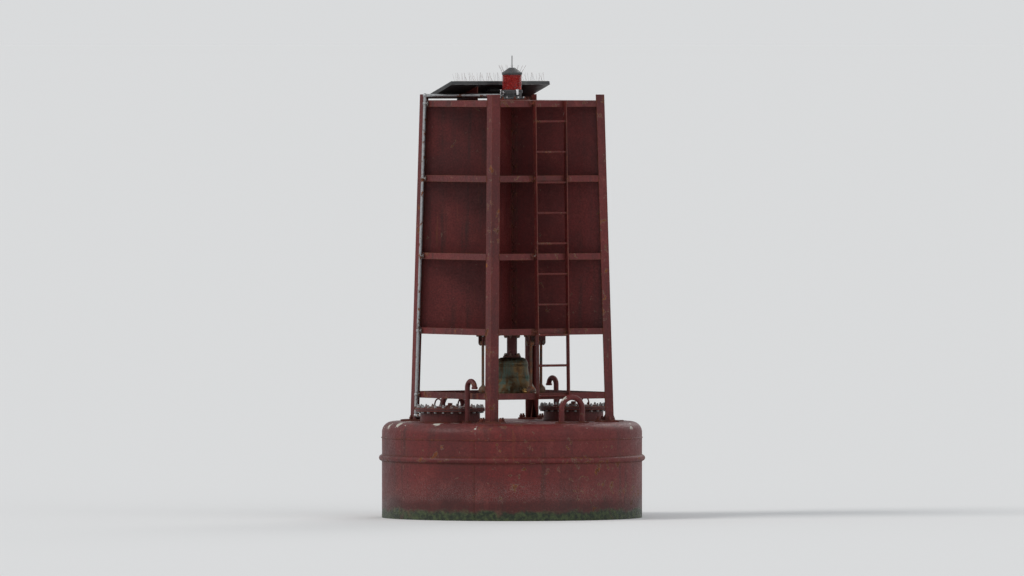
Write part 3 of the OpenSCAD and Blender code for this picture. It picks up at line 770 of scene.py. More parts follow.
def turned_metal(place):
    """Machined light metal with a fine lay and salt bloom."""
    lay = use(lay_group, place)
    bloom = step(noise(place, 21.0, 6.0, 0.62), 0.48, 0.72)
    colour = blend(lay, (0.45, 0.45, 0.46, 1), (0.78, 0.78, 0.79, 1))
    colour = blend(bloom, colour, (0.60, 0.60, 0.58, 1), 0.5)
    worn = use(edges_group, place, Reach=0.002, Amount=0.5)
    colour = blend(worn, colour, (0.85, 0.85, 0.85, 1), 0.4)
    return colour, lift(bloom, 0.35, 0.22), times(lay, 0.00012), rest(times(bloom, 0.7))


def dark_anodised(place):
    """Black anodised frame, greyed by the sun and bright where it is scuffed."""
    haze = step(noise(place, 13.0, 6.0, 0.62), 0.42, 0.74)
    lay = use(lay_group, place)
    scuffs = use(chips_group, place, Size=40.0, Start=0.66, End=0.69)
    bare = larger(use(edges_group, place, Reach=0.003, Amount=0.55), scuffs)
    colour = blend(haze, (0.016, 0.017, 0.019, 1), (0.060, 0.061, 0.063, 1))
    colour = blend(bare, colour, (0.52, 0.53, 0.54, 1), 0.8)
    colour = blend(use(lime_group, place, Lowest=3.0, Amount=0.55), colour, LIME, 0.9)
    return colour, lift(haze, 0.25, 0.38), times(lay, 0.00012), times(bare, 0.9)


def red_lens_glass(place):
    """Moulded red lens, crazed and dusted with dried spray."""
    spray = step(noise(place, 70.0, 6.0, 0.65), 0.46, 0.70)
    colour = blend(noise(place, 8.0, 3.0), (0.62, 0.016, 0.012, 1), (0.78, 0.035, 0.022, 1))
    colour = blend(spray, colour, (0.55, 0.42, 0.38, 1), 0.22)
    return colour, lift(spray, 0.32, 0.07), times(noise(place, 160.0, 4.0), 0.0003)


def cell_glass(place):
    """Dark cells in rows under glass, with bright fingers, dust and droppings."""
    flat = add(place, "ShaderNodeMapping",
               {"Vector": place, "Location": middle("solar_frame"),
                "Rotation": (0, math.radians(SOLAR_TILT), math.radians(SOLAR_DIR))},
               vector_type="TEXTURE").outputs[0]
    axes = add(flat, "ShaderNodeSeparateXYZ", {"Vector": flat}).outputs
    cell_w, cell_l = glass_size.x / 3, glass_size.y / 8
    gap_w, finger_w = 0.0022, 0.0011

    def stripes(axis, pitch, width, first):
        """Thin lines across an axis, a pitch apart, one of them at first."""
        past = maths("PINGPONG", maths("SUBTRACT", axes[axis], first), pitch / 2)
        return rest(step(past, width * 0.6, width))

    gaps = larger(stripes("X", cell_w, gap_w, cell_w / 2), stripes("Y", cell_l, gap_w, 0))
    fingers = stripes("Y", cell_l / 3, finger_w, cell_l / 6)
    dust = step(noise(place, 10.0, 6.0, 0.62), 0.42, 0.75)
    droppings = use(lime_group, place, Lowest=3.0, Amount=0.42)
    grains = tone_of(cells(place, 75.0)["Color"])
    colour = blend(grains, (0.006, 0.010, 0.034, 1), (0.014, 0.024, 0.075, 1))
    colour = blend(fingers, colour, (0.34, 0.35, 0.37, 1), 0.8)
    colour = blend(gaps, colour, (0.030, 0.032, 0.038, 1))
    colour = blend(dust, colour, (0.30, 0.29, 0.27, 1), 0.25)
    colour = blend(droppings, colour, LIME)
    roughness = larger(lift(dust, 0.3, 0.08), times(droppings, 0.75))
    height = lift(droppings, 0.0006, times(noise(place, 300.0, 2.0), 0.00006))
    return colour, roughness, height


def grainy(place, dark, light, size, detail=5.0, full=0.65, spread=0.4, base=0.5, relief=0.0012):
    """Rubber, shell or weed: one grain that changes its tone, roughness and height."""
    grain = noise(place, size, detail, 0.65)
    colour = blend(step(grain, 0.35, full), dark, light)
    return colour, lift(grain, spread, base), times(grain, relief)


# Name: edge wear, where chips start, droppings, height of the plate's waves, in the sea or not
RED_COATS = {
    "red paint": (0.55, 0.66, 0.42, 0.005, True),
    "red reflector plate": (0.5, 0.68, 0.36, 0.010, False),
    "red fittings": (0.62, 0.64, 0.38, 0.001, False),
    "red fender belt": (0.62, 0.605, 0.42, 0.002, True),
}
red_paint, red_plate, red_fitting, red_belt = [
    finish(name, red_coat, *values, fixed={"Specular IOR Level": 0.32})
    for name, values in RED_COATS.items()]
antifouling = finish("antifouling", antifouling_coat)
cast_iron = finish("cast iron", scaly_iron, (0.035, 0.030, 0.028, 1), (0.085, 0.070, 0.058, 1),
                   growth=True)
bare_steel = finish("bare steel", scaly_iron, (0.050, 0.038, 0.031, 1), (0.140, 0.085, 0.052, 1),
                    growth=False)
zinc = finish("zinc", zinc_block)
galvanised = finish("galvanised steel", galvanised_steel)
bronze = finish("bell bronze", bell_bronze)
housing = finish("lantern housing", lantern_coat)
lamp_metal = finish("lamp metal", turned_metal)
panel_metal = finish("panel aluminium", dark_anodised)
red_lens = finish("red lens", red_lens_glass, fixed={"Transmission Weight": 0.75, "IOR": 1.49})
solar_cells = finish("solar cells", cell_glass, fixed={"Coat Weight": 0.6})
rubber = finish("black rubber", grainy, (0.012, 0.012, 0.012, 1), (0.06, 0.058, 0.055, 1), 45.0,
                detail=6.0, full=0.7, spread=0.3, base=0.6, relief=0.0005)
shell = finish("barnacle shell", grainy, (0.16, 0.14, 0.11, 1), (0.50, 0.47, 0.40, 1), 160.0)
weed = finish("sea weed", grainy, (0.014, 0.024, 0.008, 1), (0.070, 0.090, 0.022, 1), 60.0)

FINISHES = {
    red_paint: ("hull_drum", "deck_head"),
    red_belt: ("fender_belt",),
    antifouling: ("bottom_cone", "tail_tube", "tail_gussets", "mooring_eye_rear",
                  "mooring_eye_front"),
    cast_iron: ("ballast",),
    zinc: ("anodes",),
    red_plate: ("reflector_plate_wide", "reflector_plate_front", "reflector_plate_rear",
                "reflector_floor", "reflector_shelves", "reflector_roof"),
    red_fitting: ("lifting_bail_rear", "lifting_bail_front", "bail_pads", "battery_pocket_rear",
                  "battery_pocket_front", "pocket_cover_rear", "pocket_cover_front",
                  "vent_pipes", "foot_plates", "leg_front", "leg_right", "leg_rear", "leg_left",
                  "guard_rail", "reflector_bars", "ladder_sides", "ladder_rungs",
                  "bell_hanger", "tapper_brackets", "lantern_platform", "solar_brackets"),
    galvanised: ("cable_conduit",),
    bare_steel: ("tapper_pins", "tapper_rear_right", "tapper_rear_left", "tapper_front_left",
                 "tapper_front_right"),
    bronze: ("bell",),
    housing: ("lantern_base", "lantern_cap"),
    lamp_metal: ("lantern_lamp",),
    red_lens: ("lantern_lens",),
    panel_metal: ("solar_frame",),
    solar_cells: ("solar_glass",),
}
for material, named in FINISHES.items():
    for name in named:
        data = nodes[name].data
        data.materials.clear()
        data.materials.append(material)

# Welds and bolts

THIN_WELD, WELD, WIDE_WELD, EYE_WELD = 0.005, 0.006, 0.007, 0.009


def weld_rings(mesh, radius, thick, places):
    """Rippled welds round pipes, the same at each place."""
    ripple_l, most_steps = 0.018, 560
    ripples = round(2 * math.pi * radius / ripple_l)
    steps = min(4 * ripples, most_steps)
    stamp(mesh, shape(ring, radius, thick, steps=steps, sides=6, ripples=ripples), places)


def weld_lines(mesh, length, thick, places):
    """Rippled welds along the z of each place."""
    stamp(mesh, shape(bead, length, thick), places)


def weld_frame(mesh, place, depth, width):
    """Welds round a rectangle on a plate."""
    for length, across, quarter in ((depth, width, 0), (width, depth, 90)):
        weld_lines(mesh, length, THIN_WELD,
                   [place @ turn(quarter) @ move(-length / 2, side * across / 2) @ turn(90, "Y")
                    for side in BOTH])


def bolt_circle(mesh, spokes, nut, top_z, head, low_z):
    """Bolts through two plates: nuts on the upper one, heads turned over under the lower."""
    for spoke in spokes:
        stamp(mesh, nut, [move(z=top_z) @ spoke])
        stamp(mesh, head, [move(z=low_z) @ spoke @ turn(180, "X")])


# Hull and what is under water


def hull_welds(mesh):
    """Welds round the drum and its belt, and down the joints of the drum's plates."""
    waist = (drum_top + drum_bottom) / 2
    weld_rings(mesh, hull_r, WELD, [move(z=z) for z in (drum_top, waist, drum_bottom)])
    weld_rings(mesh, hull_r, THIN_WELD, [move(z=belt_z + side * belt_r) for side in BOTH])
    for z, length, angles in ((waist, drum_top - waist, (25, 145, 265)),
                              (drum_bottom, waist - drum_bottom, (78, 198, 348))):
        weld_lines(mesh, length, THIN_WELD, at(angles, hull_r, z=z))


def tail_welds(mesh):
    """Welds round and down the tail tube, on its gussets and on the mooring eyes."""
    weld_rings(mesh, tail_r, WELD, [move(z=z) for z in (cone_bottom, tail_bottom)])
    tail_joint = at((20,), tail_r, z=tail_bottom)
    weld_lines(mesh, cone_bottom - tail_bottom, THIN_WELD, tail_joint)
    eye_half, eye_h = 0.025, 0.33
    eye_low = middle("mooring_eye_rear").z - eye_h / 2
    weld_lines(mesh, eye_h, EYE_WELD, at(EYE_DIRS, hull_r + 0.002, eye_half, eye_low, BOTH))
    gusset_low, gusset_top, gusset_half = low("tail_gussets").z, high("tail_gussets").z, 0.008
    out = (gusset_top - cone_bottom) * (hull_r - tail_r) / (drum_bottom - cone_bottom)
    for side_face in at(FACE_DIRS, tail_r, gusset_half, sides=BOTH):
        root = side_face @ Vector((0, 0, cone_bottom))
        tip = side_face @ Vector((out, 0, gusset_top))
        weld_lines(mesh, cone_bottom - gusset_low, WIDE_WELD, [side_face @ move(z=gusset_low)])
        weld_lines(mesh, (tip - root).length, WIDE_WELD, [along(root, tip)])


def anode_lugs(mesh):
    """Steel lugs cast into the zinc blocks' ends and welded to the hull."""
    lug_t, lug_w, lug_l = 0.008, 0.045, 0.09
    for z, side in ((high("anodes").z, 1), (low("anodes").z, -1)):
        for root in at(LEG_DIRS, hull_r, z=z):
            lug = root @ move(0.007, 0, side * lug_l / 2)
            block(mesh, (lug_t, lug_w, lug_l), lug, rim=0.001)
            end = root @ move(0.004, lug_w / 2, side * lug_l)
            weld_lines(mesh, lug_w, WELD, [end @ turn(90, "X")])


def ballast_bolts(mesh):
    """Studs that clamp the ballast castings together."""
    circle_r = (tail_r + high("ballast").x) / 2
    bolt_circle(mesh, at(evenly(8, 22.5), circle_r),
                shape(stud_nut, across=0.050, tall=0.034), high("ballast").z,
                shape(hex_bolt, across=0.050, tall=0.024), low("ballast").z)


def barnacle(mesh):
    """A low cone with a crater in its top."""
    bmesh.ops.create_cone(
        mesh, cap_ends=True, segments=7, radius1=1, radius2=0.5, depth=0.9, matrix=move(z=0.4))
    top = [face for face in mesh.faces if face.calc_center_median().z > 0.8]
    bmesh.ops.inset_region(mesh, faces=top, thickness=0.16)
    bmesh.ops.translate(mesh, verts=top[0].verts, vec=(0, 0, -0.4))


def barnacles(mesh):
    """Clusters on the drum, cone and tail, thickest just under the water."""
    draw = random.Random(11)
    count, highest, deepest, cone_slope, sunk = 70, -0.02, 1.6, 57, 0.001
    clusters = [(draw.uniform(0, 360), -draw.uniform(0.03, 0.9) ** 1.4 * deepest)
                for _ in range(count)]
    places = []
    for angle, z in clusters:
        for _ in range(draw.randint(6, 20)):
            here = angle + draw.gauss(0, 3.2)
            depth = min(highest, z + draw.gauss(0, 0.06))
            size = draw.uniform(0.005, 0.012)
            radius, tilt = tail_r, 90
            if depth > drum_bottom + 0.01:
                radius = hull_r
            elif depth > cone_bottom:
                share = (depth - cone_bottom) / (drum_bottom - cone_bottom)
                radius, tilt = tail_r + share * (hull_r - tail_r), 90 + cone_slope
            places.append(turn(here) @ move(radius - sunk, 0, depth) @ turn(tilt, "Y")
                          @ turn(draw.uniform(0, 360)) @ Matrix.Scale(size, 4))
    stamp(mesh, shape(barnacle), places)


def weed_strand(mesh, curl):
    """A tapered strand that hangs and curls away from the hull."""
    bar(mesh, 0.05, 1.0, turn(180, "X"), sides=3, top=0.008)
    sides = [edge for edge in mesh.edges if edge.calc_length() > 0.5]
    bmesh.ops.subdivide_edges(mesh, edges=sides, cuts=5)
    for vertex in mesh.verts:
        drop = -vertex.co.z
        vertex.co.x += curl * drop ** 1.6 + 0.05 * math.sin(9 * drop)
        vertex.co.y += 0.09 * math.sin(5 * drop + curl * 20)


def weed_beard(mesh):
    """Weed that grows in tufts just under the water all round."""
    draw = random.Random(23)
    strands = [shape(weed_strand, curl) for curl in (0.12, 0.2, 0.3)]
    tufts, highest = 95, -0.01
    for _ in range(tufts):
        angle, start = draw.uniform(0, 360), -draw.uniform(0.015, 0.30)
        for _ in range(draw.randint(4, 9)):
            length = draw.uniform(0.04, 0.15)
            root = turn(angle + draw.gauss(0, 1.2)) @ move(hull_r, 0, start + draw.gauss(0, 0.012))
            place = root @ turn(draw.uniform(-25, 25), "X") @ Matrix.Scale(length, 4)
            if place.translation.z < highest:
                stamp(mesh, draw.choice(strands), [place])


# Deck


def vent_places():
    """Feet of the two goose-neck pipes."""
    gap, clear = 0.015, 0.010
    return at(POCKET_DIRS, face_r(deck_z) + clear + 2 * vent_r, flange_r + gap + 2 * vent_r, deck_z)


def vent_mouth():
    """From a vent pipe's foot to its mouth, which faces down."""
    return move(y=2 * vent_bend_r, z=high("vent_pipes").z - vent_r - vent_bend_r - deck_z)


def deck_welds(mesh):
    """Welds round the battery pockets, vent pipes, bails, bail pads and foot plates."""
    bail_bar, bail_half, pad_depth, pad_width = 0.026, 0.115, 0.088, 0.318
    weld_rings(mesh, neck_r, WELD, at(POCKET_DIRS, pocket_r, z=deck_z))
    weld_rings(mesh, vent_r * 2, THIN_WELD, vent_places())
    weld_rings(mesh, bail_bar, WELD, at(EYE_DIRS, bail_r, bail_half, pad_z, BOTH))
    for place in at(EYE_DIRS, bail_r, z=deck_z):
        weld_frame(mesh, place, pad_depth, pad_width)
    for place in at(LEG_DIRS, foot_r, z=deck_z):
        weld_frame(mesh, place, foot_side, foot_side)


def leg_feet(mesh):
    """Welds and a stiffener where each leg stands on its foot plate, and the plate's nuts."""
    nut_back, nut_front, nut_side = -0.085, 0.02, 0.092
    stiff_t, stiff_h, stiff_foot, stiff_head = 0.008, 0.14, 0.105, 0.012
    for corner in at(LEG_DIRS, leg_r(foot_z), z=foot_z):
        for side in BOTH:
            flange = corner @ turn(180 - side * 45)
            for inset in (0.0, leg_t):
                weld_lines(mesh, leg_flange - inset, WELD,
                           [flange @ move(inset, side * -inset) @ turn(90, "Y")])
        stiffener = bmesh.ops.create_cube(mesh, size=1)["verts"]
        for vertex in stiffener:
            upper, inward = vertex.co.z > 0, vertex.co.x < 0
            reach = (stiff_head if upper else stiff_foot) if inward else 0.0
            vertex.co = Vector((-reach, vertex.co.y * stiff_t, stiff_h if upper else 0.0))
        bmesh.ops.transform(mesh, matrix=corner @ move(x=-leg_t * 1.5), verts=stiffener)
    nut = shape(stud_nut, across=0.030, tall=0.020)
    for x in (nut_back, nut_front):
        stamp(mesh, nut, at(LEG_DIRS, foot_r + x, nut_side, foot_z, BOTH))


def cover_bolts(mesh):
    """Studs and nuts round the battery covers, through both flanges."""
    circle_r = (neck_r + flange_r) / 2
    flange_t, rim_t = 0.016, 0.0164
    nut = shape(stud_nut, across=0.024, tall=0.016)
    head = shape(hex_bolt, across=0.024, tall=0.014)
    for pocket in at(POCKET_DIRS, pocket_r):
        bolt_circle(mesh, [pocket @ spoke for spoke in at(evenly(24), circle_r)],
                    nut, pocket_top + rim_t, head, pocket_top - flange_t)


def cover_seals(mesh):
    """The gasket's edge, squeezed out between flange and cover."""
    seal = shape(ring, flange_r - 0.001, 0.0032, steps=96, sides=6)
    stamp(mesh, seal, at(POCKET_DIRS, pocket_r, z=pocket_top + seam / 2))


def cover_handles(mesh):
    """Two grab handles and a filler plug on each battery cover."""
    out, width, height, thick = 0.13, 0.13, 0.075, 0.007
    plug_r, plug_h, plug_head_r = 0.045, 0.012, 0.022
    handle = shape(u_bar, width, height, thick)
    for top in at(POCKET_DIRS, pocket_r, z=cover_z):
        stamp(mesh, handle, [top @ move(x=side * out) for side in BOTH])
        weld_rings(mesh, thick + 0.0005, 0.003,
                   [top @ move(side * out, end * width / 2) for side in BOTH for end in BOTH])
        bar(mesh, plug_r, plug_h, top, sides=32, rim=0.002)
        bar(mesh, plug_head_r, 2 * plug_h, top @ move(z=plug_h - 0.002), sides=6, rim=0.002)


def vent_collars(mesh):
    """Collars on the vent pipes' mouths, and bolts in their feet."""
    collar = shape(ring, vent_r + 0.001, 0.005, steps=40, sides=8, flat=2.2)
    stamp(mesh, collar, [foot @ vent_mouth() for foot in vent_places()])
    stamp(mesh, shape(hex_bolt, across=0.014, tall=0.009),
          [foot @ place for foot in vent_places()
           for place in at(evenly(4, 45), vent_r * 1.55, z=vent_r / 2)])


def vent_screens(mesh):
    """Flame screens of crossed wires in the vent pipes' mouths."""
    screen_r, screen_t, screen_z = vent_r - 0.002, 0.0012, -0.0014
    wire_r, wire_step, wire_z = 0.0007, 0.0045, -0.002
    for foot in vent_places():
        mouth = foot @ vent_mouth()
        bar(mesh, screen_r, screen_t, mouth @ move(z=screen_z), sides=32)
        for i in range(-4, 5):
            half = math.sqrt(screen_r ** 2 - (i * wire_step) ** 2)
            for quarter in (0, 90):
                start = mouth @ turn(quarter) @ move(-half, i * wire_step, wire_z)
                bar(mesh, wire_r, 2 * half, start @ turn(90, "Y"), sides=5)


# Tower


def bar_welds(mesh):
    """A weld down each end of every bar, inside and outside the face."""
    line = shape(bead, bar_h, THIN_WELD)
    for z in BAR_HEIGHTS:
        half = face_r(z + bar_h / 2) - leg_flange
        stamp(mesh, line, [on_face(direction, z) @ move(x, side * half, -bar_h / 2)
                           for direction in FACE_DIRS for side in BOTH for x in (0, -bar_t)])


def corner_stitches(mesh):
    """Short welds between the upright plates' edges and the insides of the legs."""
    count, length, plate_half = 13, 0.06, 0.004
    line = shape(bead, length, THIN_WELD)
    inner = leg_t * math.sqrt(2) + 0.002
    for direction in LEG_DIRS:
        for i in range(count):
            z = floor_z + length / 2 + i * (roof_z - floor_z - 2 * length) / (count - 1)
            stamp(mesh, line, [on_leg(direction, z) @ move(-inner, side * plate_half)
                               for side in BOTH])


def angle_strip(mesh, length, side, thick, pitch, bolt):
    """A steel angle in the corner of two plates: x and y into the corner's two faces."""
    section = ((0, 0), (side, 0), (side, thick), (thick, thick), (thick, side), (0, side))
    profile = mesh.faces.new([mesh.verts.new((x, y, 0)) for x, y in section])
    made = bmesh.ops.extrude_face_region(mesh, geom=[profile])["geom"]
    far = [item for item in made if isinstance(item, bmesh.types.BMVert)]
    bmesh.ops.translate(mesh, verts=far, vec=(0, 0, length))
    bmesh.ops.recalc_face_normals(mesh, faces=mesh.faces)
    ease(mesh, [edge for edge in mesh.edges if edge.is_convex], 0.0008)
    head = shape(hex_bolt, across=bolt, tall=bolt * 0.6)
    bolt_out = side * 0.62
    count = max(2, round(length / pitch))
    for i in range(count):
        z = length * (i + 0.5) / count
        stamp(mesh, head, [move(bolt_out, thick, z) @ turn(-90, "X"),
                           move(thick, bolt_out, z - bolt) @ turn(90, "Y")])


def crossing_angles(mesh):
    """Bolted angles where the upright plates cross on the axis, bay by bay."""
    clear = 0.045
    strip = shape(angle_strip, level_step - shelf_t - 2 * clear,
                  side=0.045, thick=0.004, pitch=0.16, bolt=0.016)
    for bay in range(3):
        stamp(mesh, strip, at(LEG_DIRS, plate_skin, plate_skin, level_z(bay) + shelf_t + clear))


def shelf_angles(mesh):
    """Bolted angles along the upright plates under every level plate and over the floor."""
    clear = 0.20
    for level, is_over, inset in ((0, True, 0.05), (1, False, 0.05), (2, False, 0.05),
                                  (3, False, 0.19)):
        z = level_z(level) + (shelf_t if is_over else 0)
        flip = 90 if is_over else 0
        strip = shape(angle_strip, leg_r(z) - clear - inset,
                      side=0.035, thick=0.004, pitch=0.15, bolt=0.014)
        for corner in at(LEG_DIRS, z=z):
            stamp(mesh, strip, [corner @ move(inset, plate_skin) @ turn(90, "Y") @ turn(flip),
                                corner @ move(plate_skin, inset) @ turn(-90, "X") @ turn(-flip)])


def rungs():
    """The middles of the ladder's rungs."""
    return [on_face(LADDER_DIR, rail_z) @ move(seam + ladder_deep / 2, 0, i * rung_step)
            for i in range(rung_count)]


def ladder_fittings(mesh):
    """Lugs that hold the ladder to the bars, and welds round the rungs' ends."""
    bolt = shape(hex_bolt, across=0.018, tall=0.011)
    lug_t, lug_w, lug_d, lug_h = 0.006, 0.042, 0.034, 0.045
    for z in BAR_HEIGHTS[1:]:
        for side in BOTH:
            lug = on_face(LADDER_DIR, z) @ move(y=side * (ladder_half + ladder_t / 2))
            foot = lug @ move(0.0034, side * (lug_w / 2 + 0.001))
            block(mesh, (lug_t, lug_w, lug_h), foot, rim=0.001)
            ear = lug @ move(lug_d / 2 + 0.001, side * (lug_t / 2 + 0.001))
            block(mesh, (lug_d, lug_t, lug_h), ear, rim=0.001)
            stamp(mesh, bolt, [foot @ move(lug_t / 2, side * 0.006) @ turn(90, "Y"),
                               ear @ move(0.004, side * lug_t / 2) @ turn(-side * 90, "X")])
    weld = shape(ring, rung_r, 0.0035, steps=24, sides=5, ripples=6)
    end = ladder_half - ladder_t / 2
    for rung in rungs():
        stamp(mesh, weld, [rung @ move(y=side * end) @ turn(90, "X") for side in BOTH])


def rung_grips(mesh):
    """Ribbed sleeves where feet go on the rungs."""
    count, pitch = 13, 0.02
    rib = shape(ring, rung_r, 0.0016, steps=20, sides=5)
    for rung in rungs():
        stamp(mesh, rib, [rung @ move(y=(k - (count - 1) / 2) * pitch) @ turn(90, "X")
                          for k in range(count)])


def conduit_places():
    """Middles of the conduit where it passes the bars."""
    return [on_face(CONDUIT_DIR, z) @ move(conduit_out, conduit_beside - face_r(z))
            for z in BAR_HEIGHTS]


def conduit_saddles(mesh):
    """Saddles that hold the conduit off the bars and the leg."""
    band_t, foot_t, foot_w, foot_h = 0.0022, conduit_out - conduit_r + 0.002, 0.030, 0.036
    ear, ear_in, ear_side = (0.004, 0.022, 0.026), 0.0105, 0.027
    saddle = shape(ring, conduit_r + band_t, band_t, steps=28, sides=8, flat=6.0)
    for centre in conduit_places():
        foot = centre @ move(0.001 - (conduit_out + conduit_r) / 2)
        block(mesh, (foot_t, foot_w, foot_h), foot, rim=0.001)
        stamp(mesh, saddle, [centre])
        for side in BOTH:
            block(mesh, ear, centre @ move(-ear_in, side * ear_side), rim=0.0006)


def conduit_bolts(mesh):
    """Bolts through the saddles' ears."""
    bolt_in, bolt_side = 0.0085, 0.029
    stamp(mesh, shape(hex_bolt, across=0.013, tall=0.008),
          [centre @ move(-bolt_in, side * bolt_side) @ turn(90, "Y")
           for centre in conduit_places() for side in BOTH])


# Bell and tappers


def bell_bands(mesh):
    """Raised bands cast round the bell at its lip, waist and shoulder."""
    waist_r, flare_h, curve = 0.150, 0.278, 2.3
    for rise, thick in ((0.022, 0.0045), (0.034, 0.0030), (0.150, 0.0035), (0.160, 0.0025),
                        (0.262, 0.0040), (0.274, 0.0028)):
        share = max(0.0, 1 - rise / flare_h)
        radius = waist_r + (bell_mouth_r - waist_r) * share ** curve
        stamp(mesh, shape(ring, radius, thick, steps=128, sides=8), [move(z=bell_mouth_z + rise)])


def hanger_bolts(mesh):
    """Studs through both flanges of the bell's hanger, and welds round its neck."""
    circle_r, hanger_r, flange_t = 0.068, 0.048, 0.0124
    nut = shape(stud_nut, across=0.022, tall=0.014)
    low_z, top_z = floor_z - flange_t, bell_crown_z + flange_t
    bolt_circle(mesh, at(evenly(6, 30), circle_r), nut, top_z, nut, low_z)
    weld_rings(mesh, hanger_r, THIN_WELD, [move(z=top_z), move(z=low_z)])


def tapper_places():
    """Each tapper's body with the place of its pin: x outward, y along the pin."""
    for joint in frame["record"]["behaviour"]["joints"]:
        pin = Vector(joint["pos_m"])
        yield joint["child"], Matrix.Translation(pin) @ turn(math.degrees(math.atan2(pin.y, pin.x)))


def bracket_fixings(mesh):
    """Bolts up through the brackets' plates, and split pins at the pins' ends."""
    bolt = shape(hex_bolt, across=0.016, tall=0.010)
    split = shape(ring, 0.007, 0.0016, steps=20, sides=6)
    plate_z, bolt_x, bolt_y, pin_end = 0.0674, 0.031, 0.047, 0.0464
    split_r, split_l, eye_drop = 0.0022, 0.036, 0.021
    for _, place in tapper_places():
        stamp(mesh, bolt, [place @ move(x * bolt_x, y * bolt_y, plate_z) @ turn(180, "X")
                           for x in BOTH for y in BOTH])
        for side in BOTH:
            end = place @ move(y=side * pin_end)
            stamp(mesh, split, [end @ move(z=-eye_drop) @ turn(90, "Y")])
            bar(mesh, split_r, split_l, end @ move(z=-split_l / 2), sides=8)


def tapper_welds(mesh, place):
    """Welds where a tapper's arm meets its eye and its ball."""
    arm_r, eye_low, ball_top = 0.0135, -0.0225, bell_mouth_z + 0.075
    weld_rings(mesh, arm_r, THIN_WELD, [place @ move(z=eye_low)])
    weld_rings(mesh, arm_r + 0.0005, WELD, [place @ move(z=ball_top - place.translation.z)])


# Lantern and solar panel


def lantern_fittings(mesh):
    """Foot bolts, clips and the cable gland of the lantern's base."""
    foot_top, clip_z = low("lantern_base").z + 0.012, lens_low - 0.026
    bolt_circle_r, body_r, gland_out, gland_z = 0.107, 0.100, 0.088, foot_top + 0.045
    strap, catch, pin_r, pin_l = (0.010, 0.022, 0.050), (0.012, 0.028, 0.008), 0.0035, 0.030
    bolt = shape(hex_bolt, across=0.014, tall=0.010)
    stamp(mesh, bolt, at(evenly(6, 15), bolt_circle_r, z=foot_top))
    for clip in at(evenly(3, 70), body_r):
        block(mesh, strap, clip @ move(strap[0] / 2, 0, clip_z + 0.008), rim=0.002)
        block(mesh, catch, clip @ move(0.002, 0, lens_low + catch[2] / 2), rim=0.002)
        pin = clip @ move(strap[0], -pin_l / 2, clip_z)
        bar(mesh, pin_r, pin_l, pin @ turn(-90, "X"), sides=10)
    gland = turn(CONDUIT_DIR) @ move(gland_out, 0, gland_z) @ turn(90, "Y")
    bar(mesh, 0.019, 0.014, gland, sides=6, rim=0.002)


def lens_seals(mesh):
    """Rubber seals under and over the lens."""
    seal = shape(ring, lens_r + 0.001, 0.0035, steps=72, sides=8)
    stamp(mesh, seal, [move(z=z) for z in (lens_low + 0.001, lens_high - 0.001)])


def lens_ribs(mesh):
    """Moulded rings round the lens that bend the lamp's light to the horizon."""
    count = 13
    rib = shape(ring, lens_r, 0.0022, steps=96, sides=6, flat=1.7)
    stamp(mesh, rib, [move(z=lens_low + (lens_high - lens_low) * (i + 1) / (count + 1))
                      for i in range(count)])


def lamp_head(mesh):
    """Rows of small lenses round the lamp, with cooling fins over and under them."""
    mid, head_r, head_h = (lens_low + lens_high) / 2, 0.034, 0.054
    count, dot_r, row_step = 18, 0.0052, 0.015
    fin_r, fin_t, fin_gap, fin_step, fin_taper = 0.030, 0.002, 0.006, 0.008, 0.004
    dot = shape(bmesh.ops.create_uvsphere, u_segments=8, v_segments=6, radius=dot_r)
    for row in (-1, 0, 1):
        places = at(evenly(count, row * 10), head_r, z=mid + row * row_step)
        stamp(mesh, dot, [place @ turn(90, "Y") for place in places])
    for side in BOTH:
        for k in range(3):
            fin = move(z=mid + side * (head_h / 2 + fin_gap + k * fin_step))
            bar(mesh, fin_r - k * fin_taper, fin_t, fin, sides=40, rim=0.0005)


def bird_wires(mesh):
    """Stiff wires round the cap and along the panel's upper edge that keep birds off."""
    draw = random.Random(5)
    length, cap_r, cap_z = 0.085, 0.088, lens_high + 0.010
    strip_t, strip_w, end_gap = 0.004, 0.014, 0.05
    for angle in evenly(14):
        root = turn(angle + draw.uniform(-4, 4)) @ move(cap_r, 0, cap_z)
        bar(mesh, 0.0012, length, root @ turn(28 + draw.uniform(-6, 6), "Y"), sides=6, top=0.0008)
    base = on_panel() @ move(x=0.015 - panel_size.x / 2, z=panel_size.z / 2)
    row, count = panel_size.y - 2 * end_gap, 64
    block(mesh, (strip_w, row + 0.02, strip_t), base @ move(z=strip_t / 2), rim=0.001)
    for i in range(count):
        root = base @ move(0, row * (i / (count - 1) - 0.5), strip_t / 2)
        splay = turn(draw.uniform(-32, 32), "Y") @ turn(draw.uniform(-12, 12), "X")
        bar(mesh, 0.0011, length, root @ splay, sides=6, top=0.0007)


def panel_clamps(mesh):
    """Corner keys of the panel's frame, and the clamps that hold it to its brackets."""
    wide, long, thick = panel_size
    bracket_y = span("solar_brackets", on_panel())[1].y
    key_in, clip_in, plate, plate_in, screw_in = 0.013, 0.050, (0.05, 0.034, 0.006), 0.012, 0.020
    screw = shape(hex_bolt, across=0.009, tall=0.004)
    for x in BOTH:
        for y in BOTH:
            corner = on_panel() @ move(x * (wide / 2 - key_in), y * (long / 2 - key_in), thick / 2)
            clip = on_panel() @ move(x * (wide / 2 - clip_in), y * bracket_y, -thick / 2 - seam)
            block(mesh, plate, clip @ move(y=-y * plate_in, z=-plate[2] / 2), rim=0.001)
            under = clip @ move(y=-y * screw_in, z=-plate[2]) @ turn(180, "X")
            stamp(mesh, screw, [corner, under])


